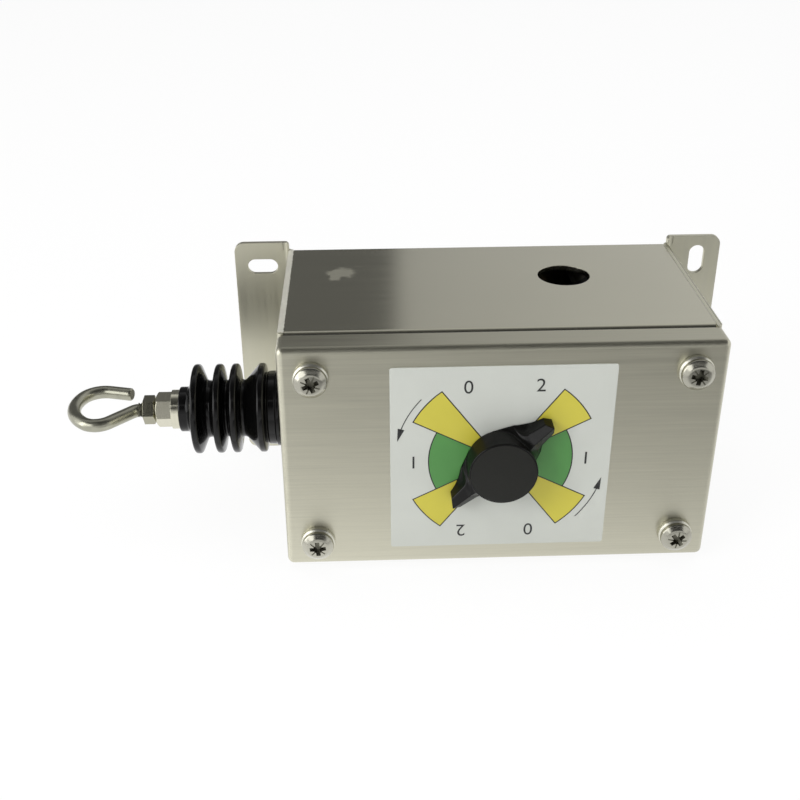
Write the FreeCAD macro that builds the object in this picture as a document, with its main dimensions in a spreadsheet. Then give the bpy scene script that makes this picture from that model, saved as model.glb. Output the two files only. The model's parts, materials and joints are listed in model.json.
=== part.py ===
import FreeCAD, Part
import math
import os
import Sketcher
from types import SimpleNamespace
from FreeCAD import Placement, Rotation, Vector

# Rope pull switch in a folded stainless steel box, in millimetres.
# X is to the right seen from the front, Y goes into the wall and Z is up.
# The origin is the middle of the mounting face, and a depth is a distance in front of that face.

DIMENSIONS = [
    ("boxWidth", 160, "width of the box and its cover"),
    ("boxHeight", 92, "height of the box and its cover"),
    ("boxDepth", 97, "mounting face to the front of the cover"),
    ("wallSheet", 2, "sheet of the box"),
    ("wrapBend", 3, "outer bend radius of the wrapped sheet"),
    ("plateBend", 1.8, "outer bend radius at the front of the end plates"),
    ("earBend", 3.5, "outer bend radius between an end plate and its ear"),
    ("earReach", 22.5, "how far an ear stands out from the side of the box"),
    ("earRise", 3.2, "how far an ear stands above the box"),
    ("earCorner", 4, "corner radius of an ear"),
    ("lipSide", 6.5, "front lip of the end plates"),
    ("lipTop", 5.8, "front lip of the wrapped sheet"),
    ("lipEase", 0.2, "slit between the lips at the corners"),
    ("slotLength", 12.6, "length of a mounting slot"),
    ("slotWidth", 6.5, "width of a mounting slot"),
    ("leftSlotSide", 11, "middle of the left slots outside the side of the box"),
    ("leftSlotEdge", 7.25, "middle of the left slots from the top and the underside"),
    ("rightSlotSide", 13, "middle of the right slots outside the side of the box"),
    ("rightSlotEdge", 7.3, "middle of the right slots from the top and the underside"),
    ("entryRadius", 10.25, "cable entry for an M20 gland"),
    ("entryPlace", 30.4, "cable entry to the right of the middle"),
    ("entryDepth", 34.8, "cable entry in front of the mounting face"),
    ("coverDepth", 12.5, "box rim to the front of the cover"),
    ("coverGap", 1.2, "open slit between the box and the cover flange"),
    ("coverSheet", 1.5, "sheet of the cover"),
    ("coverBend", 2.5, "outer bend radius of the cover"),
    ("rimSheet", 2, "sheet of the sealing rim"),
    ("rimTuck", 4, "how far the rim reaches behind the face of the lips"),
    ("rimCorner", 2.5, "outer corner radius of the sealing rim"),
    ("gasketThickness", 2, "cover gasket, pressed"),
    ("gasketWidth", 5, "width of the cover gasket"),
    ("nutPlateThickness", 3, "tapped corner plates"),
    ("nutPlateReach", 14, "corner plate beyond the screw towards the middle"),
    ("nutPlateCut", 6, "cut corner of a corner plate"),
    ("coverScrewSide", 12, "cover screws from the sides of the box"),
    ("coverScrewEdge", 11.3, "cover screws from the top and the underside"),
    ("screwRadius", 3, "M6 cover screw"),
    ("screwLength", 20, "cover screw under its head"),
    ("screwHeadRadius", 6, "pan head"),
    ("screwHeadHeight", 3.6, "pan head"),
    ("screwHeadRound", 2.2, "rounding of the pan head"),
    ("screwPlay", 0.25, "screw in a clearance hole, each side"),
    ("washerRadius", 6.4, "sealing washer"),
    ("washerThickness", 2.5, "sealing washer"),
    ("labelWidth", 80.8, "dial label"),
    ("labelHeight", 76.3, "dial label"),
    ("labelThickness", 0.4, "dial label"),
    ("labelCorner", 1, "corner radius of the dial label"),
    ("knobHeight", 11, "face of the knob above the cover"),
    ("knobGap", 0.4, "knob to the dial label"),
    ("bossRadius", 12.5, "round middle of the knob"),
    ("bossEase", 0.5, "bevelled edge of the knob face"),
    ("knobAngle", 43, "pointer above the horizontal at rest"),
    ("wingReach", 24, "foot of a wing from the axis"),
    ("wingTip", 2.4, "half width of the foot of a wing at its tip"),
    ("wingHeight", 5.7, "edges of a wing above the cover"),
    ("wingHalf", 3.4, "half width of a wing between those edges"),
    ("wingCrest", 8, "crest of a wing above the cover"),
    ("wingBlend", 1.5, "hollow between the boss and the roof of a wing"),
    ("knobRecess", 1.2, "depth of the recess under the knob"),
    ("knobRecessPlay", 1, "that recess around the flange of the shaft bush"),
    ("knobSkin", 2, "face of the knob in front of the shaft"),
    ("grubRadius", 2, "M4 grub screw of the knob"),
    ("grubDrop", 4.4, "middle of the grub screw behind the face of the knob"),
    ("grubInset", 1, "grub screw below the side of the boss"),
    ("shaftRadius", 4, "knob shaft"),
    ("shaftFit", 0.05, "running clearance of the shafts, each side"),
    ("bushFlangeRadius", 9, "front flange of the shaft bush"),
    ("bushFlange", 0.8, "thickness of that flange"),
    ("bushRadius", 6, "threaded barrel of the shaft bush"),
    ("bushInside", 7.3, "shaft bush behind the sheet of the cover"),
    ("bushNutFlats", 17, "nut of the shaft bush"),
    ("bushNutThickness", 4, "nut of the shaft bush"),
    ("clipRadius", 6.5, "shaft circlip"),
    ("clipThickness", 0.8, "shaft circlip"),
    ("clipGap", 0.2, "circlip to the bush"),
    ("toothModule", 1, "module of the pinion and the rack"),
    ("toothCount", 24, "teeth of the pinion"),
    ("pressureAngle", 20, "pressure angle in degrees"),
    ("toothPlay", 0.12, "play of a tooth, each side"),
    ("gearWidth", 7, "face width"),
    ("clipSpace", 2.9, "front cam to the shaft circlip"),
    ("camSpace", 1.3, "pinion to the front cam"),
    ("gearSpace", 1, "rear cam to the pinion"),
    ("camWidth", 5, "thickness of a cam"),
    ("camBase", 9, "cam radius under the plunger at rest"),
    ("camHub", 7.6, "cam radius beside the spiral"),
    ("camLift", 2, "lift of a cam over the whole turn"),
    ("knobTurn", 85, "whole turn of the knob in degrees"),
    ("camLead", 15, "spiral beyond each end of the turn in degrees"),
    ("bracketSpace", 1.5, "front of the bearing bracket to the rear cam"),
    ("bracketSheet", 2, "sheet of the brackets"),
    ("bracketHalfWidth", 22, "half width of the bearing bracket"),
    ("bracketEdge", 12, "bearing bracket from the top and the underside"),
    ("bracketFoot", 9, "feet of the bearing bracket"),
    ("bracketBend", 3, "outer bend radius of the brackets"),
    ("footScrewRadius", 2.5, "M5 screws of the brackets"),
    ("footScrewHead", 4.25, "head radius of those screws"),
    ("footScrewHeadHeight", 3, "head height of those screws"),
    ("footScrewShort", 0.2, "screw end short of the mounting face"),
    ("footScrewSide", 14, "bearing bracket screws beside the middle"),
    ("journalRadius", 3, "rear journal of the knob shaft"),
    ("bearingRadius", 4.5, "bearing bush in the bracket"),
    ("bearingFlangeRadius", 6.5, "flange of the bearing bush"),
    ("bearingFlange", 1, "thickness of that flange"),
    ("shaftBehind", 3.2, "rear end of the shaft behind the front of the bracket"),
    ("rodBehind", 9, "pull rod axis behind the front of the bearing bracket"),
    ("rodRadius", 5, "pull rod"),
    ("rodEndInset", 22, "inner end of the pull rod from the right side of the box"),
    ("rodEase", 1, "bevel of that end"),
    ("rodStubRadius", 4, "threaded stub of the pull rod"),
    ("rodStubLength", 5.4, "threaded stub of the pull rod"),
    ("stopGap", 0.3, "rod arm to the bearing bracket, its stop at rest"),
    ("armThickness", 6, "rod arm"),
    ("armHub", 9, "hub radius of the rod arm"),
    ("armPinRadius", 1.5, "cross pin of the rod arm"),
    ("armPinShort", 0.6, "end of that pin below the hub"),
    ("rackRight", 26, "right end of the rack"),
    ("rackFoot", 18, "underside of the rack below the knob axis"),
    ("rackScrewRadius", 2, "M4 screw of the rack"),
    ("rackScrewHead", 3.5, "head radius of that screw"),
    ("rackScrewLength", 10, "hole of that screw in the rack"),
    ("rackScrewShort", 0.5, "end of that screw short of its hole"),
    ("guideHalfWidth", 18, "half width of the rack guide"),
    ("guideWall", 2, "front lip of the rack guide"),
    ("guideFloor", 6, "floor of the rack guide"),
    ("guideFit", 0.1, "rack in its guide"),
    ("guideBackRise", 0.3, "back of the rack guide above the tooth roots"),
    ("guideLipDrop", 0.8, "front lip of the rack guide below the tooth roots"),
    ("switchHalfWidth", 14, "half width of a contact block"),
    ("switchFoot", 17, "underside of a contact block above the knob axis"),
    ("switchHeight", 16, "height of a contact block"),
    ("switchThickness", 10.4, "thickness of a contact block"),
    ("switchGap", 0.3, "contact block to the bracket and between blocks"),
    ("switchScrewRadius", 1.5, "M3 screws through the contact blocks"),
    ("switchScrewSide", 11, "those screws beside the middle"),
    ("switchScrewHead", 2.75, "head radius of those screws"),
    ("plungerRadius", 2, "contact plunger"),
    ("plungerInside", 9, "plunger inside its block"),
    ("plungerPlay", 0.08, "plunger in its bore, each side"),
    ("plungerNose", 1, "bevel of the plunger end"),
    ("plungerSpare", 1, "bore beyond the plunger at full lift"),
    ("plungerGap", 0.12, "plunger to its cam"),
    ("tabWidth", 4.8, "contact tab"),
    ("tabThickness", 0.8, "contact tab"),
    ("tabHeight", 6.5, "contact tab above its block"),
    ("tabSpacing", 9.5, "between contact tabs"),
    ("glandRadius", 11, "gland bush in the left wall"),
    ("glandSpigot", 13, "bellows seat of the gland bush"),
    ("glandSpigotLength", 6, "bellows seat of the gland bush"),
    ("glandInside", 8, "gland bush inside the left wall face"),
    ("glandNutFlats", 27, "nut of the gland bush"),
    ("glandNutThickness", 4, "nut of the gland bush"),
    ("springWire", 1.8, "return spring, square wire"),
    ("springRadius", 6.7, "mean radius of the return spring"),
    ("springTurns", 6, "turns of the return spring"),
    ("springGap", 0.2, "return spring to its seats"),
    ("seatThickness", 2, "spring seat"),
    ("seatRadius", 8.5, "spring seat"),
    ("rearPlateInset", 43, "rod guide bracket from the right side of the box"),
    ("rearPlateEdge", 10, "rod guide bracket from the top and the underside"),
    ("rearPlateAhead", 11.5, "rod guide bracket in front of the pull rod axis"),
    ("rearPlateFoot", 16, "foot of the rod guide bracket"),
    ("rearPlateScrewInset", 8, "screws of the rod guide bracket from its ends"),
    ("rodBushRadius", 8, "guide bush of the pull rod"),
    ("rodBushFlange", 10.5, "flange radius of that bush"),
    ("rodBushFlangeThickness", 2, "flange of that bush"),
    ("rodBushReach", 6, "that bush right of the bracket"),
    ("noseReach", 42.1, "outer end of the bellows collar from the wall"),
    ("noseLength", 4, "bellows collar"),
    ("noseRadius", 8.9, "bellows collar"),
    ("bellowsWall", 1.5, "rubber thickness"),
    ("crestRadius", 17.7, "folds of the bellows"),
    ("crestFlat", 1.8, "width of a fold at its crest"),
    ("valleyRadius", 11.3, "bellows between its folds"),
    ("foldOne", 35.1, "outermost fold from the wall"),
    ("foldTwo", 26.3, "second fold"),
    ("foldThree", 19.9, "third fold"),
    ("foldFour", 9.2, "innermost fold"),
    ("valleyOne", 30, "first valley"),
    ("valleyTwo", 23.3, "second valley"),
    ("valleyThree", 16.6, "third valley"),
    ("cuffRadius", 14.6, "bellows cuff at the wall"),
    ("cuffLength", 6.8, "bellows cuff at the wall"),
    ("cuffGap", 0.3, "bellows cuff to the wall"),
    ("softGap", 0.3, "bellows to the metal inside it"),
    ("flangeRadius", 7.8, "round flange of the coupling"),
    ("flangeLength", 3, "round flange of the coupling"),
    ("couplingFlats", 12, "hexagon of the coupling"),
    ("couplingLength", 6.2, "hexagon of the coupling"),
    ("nutGap", 0.4, "coupling to the lock nut"),
    ("nutFlats", 10, "M6 lock nut"),
    ("nutThickness", 4.7, "M6 lock nut"),
    ("threadRadius", 3, "M6 thread of the eye hook"),
    ("threadInside", 3.2, "thread inside the coupling"),
    ("hookWire", 2.6, "wire radius of the eye hook"),
    ("hookNeck", 0.4, "straight neck outside the lock nut"),
    ("hookNeckBend", 6, "bend radius at the neck"),
    ("hookNeckAngle", 46, "bend at the neck in degrees"),
    ("hookRun", 11, "straight run of the hook"),
    ("hookFrontBend", 6.8, "front bend radius"),
    ("hookFrontAngle", 85, "front bend in degrees"),
    ("hookEndBend", 17.5, "outer bend radius"),
    ("hookEndAngle", 75, "outer bend in degrees"),
    ("hookBackBend", 8.8, "back bend radius"),
    ("hookBackAngle", 81, "back bend in degrees"),
    ("hookTip", 9.5, "straight tip of the hook"),
    ("hexChamfer", 0.7, "length of the turned corners of a hexagon"),
    ("hexTurned", 1.1, "depth of those turned corners"),
    ("earthRadius", 2, "earth stud"),
    ("earthLength", 14, "earth stud"),
    ("earthSide", 28, "earth stud from the left side of the box"),
    ("earthEdge", 18, "earth stud from the underside"),
    ("earthFlats", 7, "earth nuts"),
    ("earthNutThickness", 3.2, "earth nuts"),
    ("earthLug", 1, "space for a cable lug behind and between the earth nuts"),
]

doc = FreeCAD.newDocument("RopePullSwitch")
sheet = doc.addObject("Spreadsheet::Sheet", "Dims")


# Sizes that carry both their number and their formula in the sheet

class Size:
    def __init__(self, value, text):
        self.value = float(value)
        self.text = text

    def __add__(self, other):
        return Size(self.value + number(other), f"({self.text} + {formula(other)})")

    def __radd__(self, other):
        return Size(number(other) + self.value, f"({formula(other)} + {self.text})")

    def __sub__(self, other):
        return Size(self.value - number(other), f"({self.text} - {formula(other)})")

    def __rsub__(self, other):
        return Size(number(other) - self.value, f"({formula(other)} - {self.text})")

    def __mul__(self, other):
        return Size(self.value * number(other), f"({self.text} * {formula(other)})")

    def __rmul__(self, other):
        return Size(number(other) * self.value, f"({formula(other)} * {self.text})")

    def __truediv__(self, other):
        return Size(self.value / number(other), f"({self.text} / {formula(other)})")

    def __neg__(self):
        return Size(-self.value, f"(0 - {self.text})")


def number(size):
    return size.value if isinstance(size, Size) else float(size)


def formula(size):
    return size.text if isinstance(size, Size) else repr(float(size))


def sized(size):
    return Size(number(size), formula(size))


def fill_sheet():
    for row, (alias, value, note) in enumerate(DIMENSIONS, start=1):
        sheet.set(f"A{row}", alias)
        sheet.set(f"B{row}", str(value))
        sheet.setAlias(f"B{row}", alias)
        sheet.set(f"C{row}", note)
    doc.recompute()
    return SimpleNamespace(**{alias: Size(value, f"Dims.{alias}") for alias, value, note in DIMENSIONS})


D = fill_sheet()

# Places that several pieces share

halfWidth = D.boxWidth / 2
halfHeight = D.boxHeight / 2
bodyFront = D.boxDepth - D.coverDepth
coverInside = D.boxDepth - D.coverSheet
rimFront = coverInside - D.gasketThickness
rimRear = bodyFront - D.rimTuck
rimHalfWidth = halfWidth - D.lipSide
rimHalfHeight = halfHeight - D.lipTop
labelFront = D.boxDepth + D.labelThickness
knobBack = labelFront + D.knobGap
knobFront = D.boxDepth + D.knobHeight
shaftFront = knobFront - D.knobSkin
grubDepth = knobFront - D.grubDrop
bushRear = coverInside - D.bushInside
clipRear = bushRear - D.clipGap - D.clipThickness
camFrontFace = clipRear - D.clipSpace
gearFront = camFrontFace - D.camWidth - D.camSpace
gearRear = gearFront - D.gearWidth
camRearFace = gearRear - D.gearSpace
bracketDepth = camRearFace - D.camWidth - D.bracketSpace
bracketHalfHeight = halfHeight - D.bracketEdge
shaftRear = bracketDepth - D.shaftBehind
rodDepth = bracketDepth - D.rodBehind
axisY = -rodDepth
pitchRadius = D.toothModule * D.toothCount / 2
rackTop = pitchRadius - D.toothModule
rackRoot = pitchRadius + D.toothModule * 1.25
switchRearBack = bracketDepth + D.switchGap
switchFrontBack = switchRearBack + D.switchThickness + D.switchGap
switchTop = D.switchFoot + D.switchHeight
coverScrewPlace = halfWidth - D.coverScrewSide
coverScrewHeight = halfHeight - D.coverScrewEdge
armRight = -(D.bracketHalfWidth + D.stopGap)
armLeft = armRight - D.armThickness
seatLeft = armLeft - D.seatThickness
glandInner = halfWidth - D.glandInside
rodEnd = halfWidth - D.rodEndInset
noseEnd = halfWidth + D.noseReach
couplingLeft = noseEnd + D.flangeLength + D.couplingLength
nutRight = couplingLeft + D.nutGap
nutLeft = nutRight + D.nutThickness
rearPlatePlace = halfWidth - D.rearPlateInset
rearPlateHalf = halfHeight - D.rearPlateEdge
guideScrewPlace = rearPlatePlace + D.bracketSheet + D.rearPlateFoot / 2
guideScrewHeight = rearPlateHalf - D.rearPlateScrewInset

# A cut starts this far outside the metal, and an axis line in a sketch has this length.
overcut = 1
axisLine = 10


# Building blocks

subparts = {}


def new_body(label):
    body = doc.addObject("PartDesign::Body", label)
    body.Label = label
    subparts[label] = body
    return body


def origin_plane(body, role):
    return next(item for item in body.Origin.OriginFeatures if item.Role == role)


def new_sketch(body, role, offset=0):
    sketch = body.newObject("Sketcher::SketchObject", "Sketch")
    sketch.AttachmentSupport = [(origin_plane(body, role), "")]
    sketch.MapMode = "FlatFace"
    sketch.AttachmentOffset = Placement(Vector(0, 0, number(offset)), Rotation())
    sketch.setExpression("AttachmentOffset.Base.z", formula(offset))
    return sketch


def bind(sketch, index, name, size):
    sketch.renameConstraint(index, name)
    sketch.setExpression(f"Constraints.{name}", formula(size))


def fix_point(sketch, geometry, end, x, y, name):
    across = sketch.addConstraint(Sketcher.Constraint("DistanceX", -1, 1, geometry, end, number(x)))
    bind(sketch, across, name + "x", x)
    up = sketch.addConstraint(Sketcher.Constraint("DistanceY", -1, 1, geometry, end, number(y)))
    bind(sketch, up, name + "y", y)


def draw_outline(sketch, points):
    corners = [Vector(number(x), number(y), 0) for x, y in points]
    first = sketch.GeometryCount
    count = len(corners)
    for place in range(count):
        sketch.addGeometry(Part.LineSegment(corners[place], corners[(place + 1) % count]), False)
    for place in range(count):
        following = first + (place + 1) % count
        sketch.addConstraint(Sketcher.Constraint("Coincident", first + place, 2, following, 1))
    for place, (x, y) in enumerate(points):
        fix_point(sketch, first + place, 1, x, y, f"p{first + place}")


def draw_circle(sketch, x, y, radius):
    centre = Vector(number(x), number(y), 0)
    circle = sketch.addGeometry(Part.Circle(centre, Vector(0, 0, 1), number(radius)), False)
    fix_point(sketch, circle, 3, x, y, f"c{circle}")
    size = sketch.addConstraint(Sketcher.Constraint("Radius", circle, number(radius)))
    bind(sketch, size, f"r{circle}", radius)


def draw_slot(sketch, x, y, length, width, upright):
    # A slot is two half circles joined by two lines.
    reach = (length - width) / 2
    radius = width / 2
    along = (0, 1) if upright else (1, 0)
    far = (x + reach * along[0], y + reach * along[1])
    near = (x - reach * along[0], y - reach * along[1])
    turn = math.pi / 2 if upright else 0
    arcs = []
    for centre, start in ((far, turn - math.pi / 2), (near, turn + math.pi / 2)):
        middle = Vector(number(centre[0]), number(centre[1]), 0)
        circle = Part.Circle(middle, Vector(0, 0, 1), number(radius))
        arc = sketch.addGeometry(Part.ArcOfCircle(circle, start, start + math.pi), False)
        fix_point(sketch, arc, 3, centre[0], centre[1], f"s{arc}")
        arcs.append(arc)
    size = sketch.addConstraint(Sketcher.Constraint("Radius", arcs[0], number(radius)))
    bind(sketch, size, f"r{arcs[0]}", radius)
    for leaving, reaching in ((arcs[0], arcs[1]), (arcs[1], arcs[0])):
        side = Part.LineSegment(sketch.getPoint(leaving, 2), sketch.getPoint(reaching, 1))
        line = sketch.addGeometry(side, False)
        sketch.addConstraint(Sketcher.Constraint("Tangent", leaving, 2, line, 1))
        sketch.addConstraint(Sketcher.Constraint("Tangent", line, 2, reaching, 1))


def draw_axis(sketch, start):
    # A construction line on the pull rod axis, which turned shapes go round.
    near_end = Vector(number(start), axisY.value, 0)
    far_end = near_end + ALONG_X * axisLine
    axis = sketch.addGeometry(Part.LineSegment(near_end, far_end), True)
    fix_point(sketch, axis, 1, start, axisY, "axisStart")
    fix_point(sketch, axis, 2, start + axisLine, axisY, "axisEnd")


def outline(points):
    return lambda sketch: draw_outline(sketch, points)


def rectangle(left, low, right, high):
    return outline([(left, low), (right, low), (right, high), (left, high)])


def circle(x, y, radius):
    return lambda sketch: draw_circle(sketch, x, y, radius)


def circles(places, radius):
    def draw(sketch):
        for x, y in places:
            draw_circle(sketch, x, y, radius)
    return draw


def hexagon(x, y, flats):
    corner = flats / math.sqrt(3)
    steps = [math.radians(60 * turn) for turn in range(6)]
    return outline([(x + corner * math.cos(step), y + corner * math.sin(step)) for step in steps])


def add_prism(body, role, draw, start, end):
    sketch = new_sketch(body, role, start)
    draw(sketch)
    pad = body.newObject("PartDesign::Pad", "Pad")
    pad.Profile = sketch
    length = sized(end) - start
    pad.Length = length.value
    pad.setExpression("Length", length.text)
    doc.recompute()
    return pad


def cut_prism(body, role, draw, start, end):
    before = body.Shape.Volume
    sketch = new_sketch(body, role, end)
    draw(sketch)
    pocket = body.newObject("PartDesign::Pocket", "Pocket")
    pocket.Profile = sketch
    length = sized(end) - start
    pocket.Length = length.value
    pocket.setExpression("Length", length.text)
    doc.recompute()
    if not pocket.Shape.Volume < before:
        raise SystemExit(f"a cut in {body.Label} removes nothing")
    return pocket


# A front prism lies between two depths, and a side prism between two places along X.

def add_front(body, draw, depth_back, depth_front):
    return add_prism(body, "XZ_Plane", draw, depth_back, depth_front)


def cut_front(body, draw, depth_back, depth_front):
    return cut_prism(body, "XZ_Plane", draw, depth_back, depth_front)


def add_side(body, draw, left, right):
    return add_prism(body, "YZ_Plane", draw, left, right)


def cut_side(body, draw, left, right):
    return cut_prism(body, "YZ_Plane", draw, left, right)


def near(one, other):
    return abs(number(one) - number(other)) < 0.01


def straight_edges(shape, along, places):
    # Names of the straight edges that run along one axis through the given coordinates.
    names = []
    for index, edge in enumerate(shape.Edges, start=1):
        if edge.Degenerated or edge.Curve.TypeId != "Part::GeomLine":
            continue
        ends = [vertex.Point for vertex in edge.Vertexes]
        direction = ends[1] - ends[0]
        if abs(abs(direction.normalize().dot(along)) - 1) > 1e-6:
            continue
        middle = (edge.Vertexes[0].Point + edge.Vertexes[1].Point) * 0.5
        for place in places:
            wanted = dict(zip("xyz", (middle.x, middle.y, middle.z)))
            if all(near(wanted[axis], value) for axis, value in place.items()):
                names.append(f"Edge{index}")
                break
    return names


def round_edges(body, names, radius):
    if not names:
        raise SystemExit(f"no edge to round in {body.Label}")
    base = body.Tip
    fillet = body.newObject("PartDesign::Fillet", "Fillet")
    fillet.Base = (base, names)
    fillet.Radius = number(radius)
    fillet.setExpression("Radius", formula(radius))
    doc.recompute()
    return fillet


def bevel_edges(body, names, size):
    base = body.Tip
    bevel = body.newObject("PartDesign::Chamfer", "Bevel")
    bevel.Base = (base, names)
    bevel.Size = number(size)
    bevel.setExpression("Size", formula(size))
    doc.recompute()
    return bevel


def ring_edges(body, ring_radius, axis, value):
    # Names of the circular edges of one radius in one plane.
    names = []
    for index, edge in enumerate(body.Shape.Edges, start=1):
        if edge.Degenerated or edge.Curve.TypeId != "Part::GeomCircle":
            continue
        if near(edge.Curve.Radius, ring_radius):
            if near(getattr(edge.Curve.Center, axis), value):
                names.append(f"Edge{index}")
    return names


ALONG_X = Vector(1, 0, 0)
ALONG_Y = Vector(0, 1, 0)
ALONG_Z = Vector(0, 0, 1)


def both(value):
    return (-value, value)


def four(x, z):
    return [(across, up) for across in both(x) for up in both(z)]


def copies(label, source, mirrors):
    # A group of like pieces: the modelled one and its mirror images.
    source.Label = label + "_one"
    del subparts[label]
    members = [source]
    for normals in mirrors:
        shape = source
        for normal in normals:
            mirror = doc.addObject("Part::Mirroring", "Mirror")
            mirror.Source = shape
            mirror.Normal = normal
            shape = mirror
        members.append(shape)
    group = doc.addObject("Part::Compound", label)
    group.Label = label
    group.Links = members
    doc.recompute()
    subparts[label] = group
    return group


FOUR_CORNERS = [[ALONG_X], [ALONG_Z], [ALONG_X, ALONG_Z]]


def make_feature(label, shape):
    feature = doc.addObject("Part::Feature", label)
    feature.Label = label
    feature.Shape = shape
    feature.Placement = Placement()
    subparts[label] = feature
    return feature


# Folded box

def make_housing_wrap():
    body = new_body("housing_wrap")
    front = -bodyFront
    inside = D.wallSheet
    top = halfHeight
    lip = rimHalfHeight
    section = [
        (0, top), (front, top), (front, lip), (front + inside, lip), (front + inside, top - inside),
        (-inside, top - inside), (-inside, inside - top), (front + inside, inside - top),
        (front + inside, -lip), (front, -lip), (front, -top), (0, -top),
    ]
    add_side(body, outline(section), D.wallSheet - halfWidth, halfWidth - D.wallSheet)
    outer = [{"y": y, "z": z} for y in (0, front) for z in both(top)]
    inner = [{"y": y, "z": z} for y in (-inside, front + inside) for z in both(top - inside)]
    round_edges(body, straight_edges(body.Shape, ALONG_X, outer), D.wrapBend)
    round_edges(body, straight_edges(body.Shape, ALONG_X, inner), D.wrapBend - D.wallSheet)
    cut_prism(body, "XY_Plane", circle(D.entryPlace, -D.entryDepth, D.entryRadius),
              top - inside * 2, top + inside)
    for z in both(bracketHalfHeight + D.bracketFoot / 2):
        places = [(x, z) for x in both(D.footScrewSide)]
        cut_front(body, circles(places, D.footScrewRadius), 0, D.wallSheet)
    places = [(guideScrewPlace, z) for z in both(guideScrewHeight)]
    cut_front(body, circles(places, D.footScrewRadius), 0, D.wallSheet)


def make_end_plate(label, side):
    # The wall of one side, bent out at the back into an ear and folded in at the front.
    body = new_body(label)
    wall = side * halfWidth
    skin = side * (halfWidth - D.wallSheet)
    ear = side * (halfWidth + D.earReach)
    front = -bodyFront
    ear_face = -D.wallSheet
    section = [(wall, front), (wall, ear_face), (ear, ear_face), (ear, 0), (skin, 0), (skin, front)]
    reach = halfHeight + D.earRise
    add_prism(body, "XY_Plane", outline(section), -reach, reach)
    edge = side * (halfWidth + D.wallSheet)
    for low, high in ((halfHeight, reach), (-reach, -halfHeight)):
        strip = rectangle(skin - side * overcut, front - overcut, edge, overcut)
        cut_prism(body, "XY_Plane", strip, low, high)
    lip_end = side * rimHalfWidth
    lip = rectangle(wall, front, lip_end, front + D.wallSheet)
    lip_half = rimHalfHeight - D.lipEase
    add_prism(body, "XY_Plane", lip, -lip_half, lip_half)
    inner = [{"x": wall, "y": -D.wallSheet}]
    outer = [{"x": skin, "y": 0}]
    round_edges(body, straight_edges(body.Shape, ALONG_Z, inner), D.earBend - D.wallSheet)
    round_edges(body, straight_edges(body.Shape, ALONG_Z, outer), D.earBend)
    round_edges(body, straight_edges(body.Shape, ALONG_Z, [{"x": wall, "y": front}]), D.plateBend)
    tips = [{"x": ear, "z": z} for z in both(reach)]
    round_edges(body, straight_edges(body.Shape, ALONG_Y, tips), D.earCorner)
    return body


def cut_ear_slots(body, place, height, upright):
    for z in both(height):
        slot = lambda sketch, z=z: draw_slot(sketch, place, z, D.slotLength, D.slotWidth, upright)
        cut_front(body, slot, 0, D.wallSheet)


def make_end_plates():
    left = make_end_plate("left_end_plate", -1)
    cut_ear_slots(left, -(halfWidth + D.leftSlotSide), halfHeight - D.leftSlotEdge, False)
    cut_side(left, circle(axisY, 0, D.glandRadius), -halfWidth, D.wallSheet - halfWidth)
    right = make_end_plate("right_end_plate", 1)
    cut_ear_slots(right, halfWidth + D.rightSlotSide, halfHeight - D.rightSlotEdge, True)


def make_sealing_rim():
    body = new_body("sealing_rim")
    add_front(body, rectangle(-rimHalfWidth, -rimHalfHeight, rimHalfWidth, rimHalfHeight), rimRear, rimFront)
    inX = rimHalfWidth - D.rimSheet
    inZ = rimHalfHeight - D.rimSheet
    cut_front(body, rectangle(-inX, -inZ, inX, inZ), rimRear, rimFront)
    outer = [{"x": x, "z": z} for x, z in four(rimHalfWidth, rimHalfHeight)]
    inner = [{"x": x, "z": z} for x, z in four(inX, inZ)]
    round_edges(body, straight_edges(body.Shape, ALONG_Y, outer), D.rimCorner)
    round_edges(body, straight_edges(body.Shape, ALONG_Y, inner), D.rimCorner - D.rimSheet)


def make_corner_nut_plates():
    body = new_body("corner_nut_plates")
    inX = rimHalfWidth - D.rimSheet
    inZ = rimHalfHeight - D.rimSheet
    left = coverScrewPlace - D.nutPlateReach
    low = coverScrewHeight - D.nutPlateReach
    cut = D.nutPlateCut
    bevel = D.rimCorner - D.rimSheet
    section = [(left, low + cut), (left + cut, low), (inX, low), (inX, inZ - bevel),
               (inX - bevel, inZ), (left, inZ)]
    add_front(body, outline(section), rimRear, rimRear + D.nutPlateThickness)
    hole = circle(coverScrewPlace, coverScrewHeight, D.screwRadius)
    cut_front(body, hole, rimRear, rimRear + D.nutPlateThickness)
    copies("corner_nut_plates", body, FOUR_CORNERS)


# Cover

def make_cover():
    body = new_body("cover")
    back = bodyFront + D.coverGap
    add_front(body, rectangle(-halfWidth, -halfHeight, halfWidth, halfHeight), back, D.boxDepth)
    uprights = [{"x": x, "z": z} for x, z in four(halfWidth, halfHeight)]
    round_edges(body, straight_edges(body.Shape, ALONG_Y, uprights), D.coverBend)
    front_face = [index for index, face in enumerate(body.Shape.Faces, start=1)
                  if near(face.CenterOfMass.y, -D.boxDepth)]
    round_edges(body, [f"Face{front_face[0]}"], D.coverBend)
    inX = halfWidth - D.coverSheet
    inZ = halfHeight - D.coverSheet
    cut_front(body, rectangle(-inX, -inZ, inX, inZ), back, coverInside)
    inner = [{"x": x, "z": z} for x, z in four(inX, inZ)]
    round_edges(body, straight_edges(body.Shape, ALONG_Y, inner), D.coverBend - D.coverSheet)
    floor_face = [index for index, face in enumerate(body.Shape.Faces, start=1)
                  if near(face.CenterOfMass.y, -coverInside)]
    round_edges(body, [f"Face{floor_face[0]}"], D.coverBend - D.coverSheet)
    holes = circles(four(coverScrewPlace, coverScrewHeight), D.screwRadius + D.screwPlay)
    cut_front(body, holes, coverInside, D.boxDepth)
    cut_front(body, circle(0, 0, D.bushRadius), coverInside, D.boxDepth)


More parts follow.
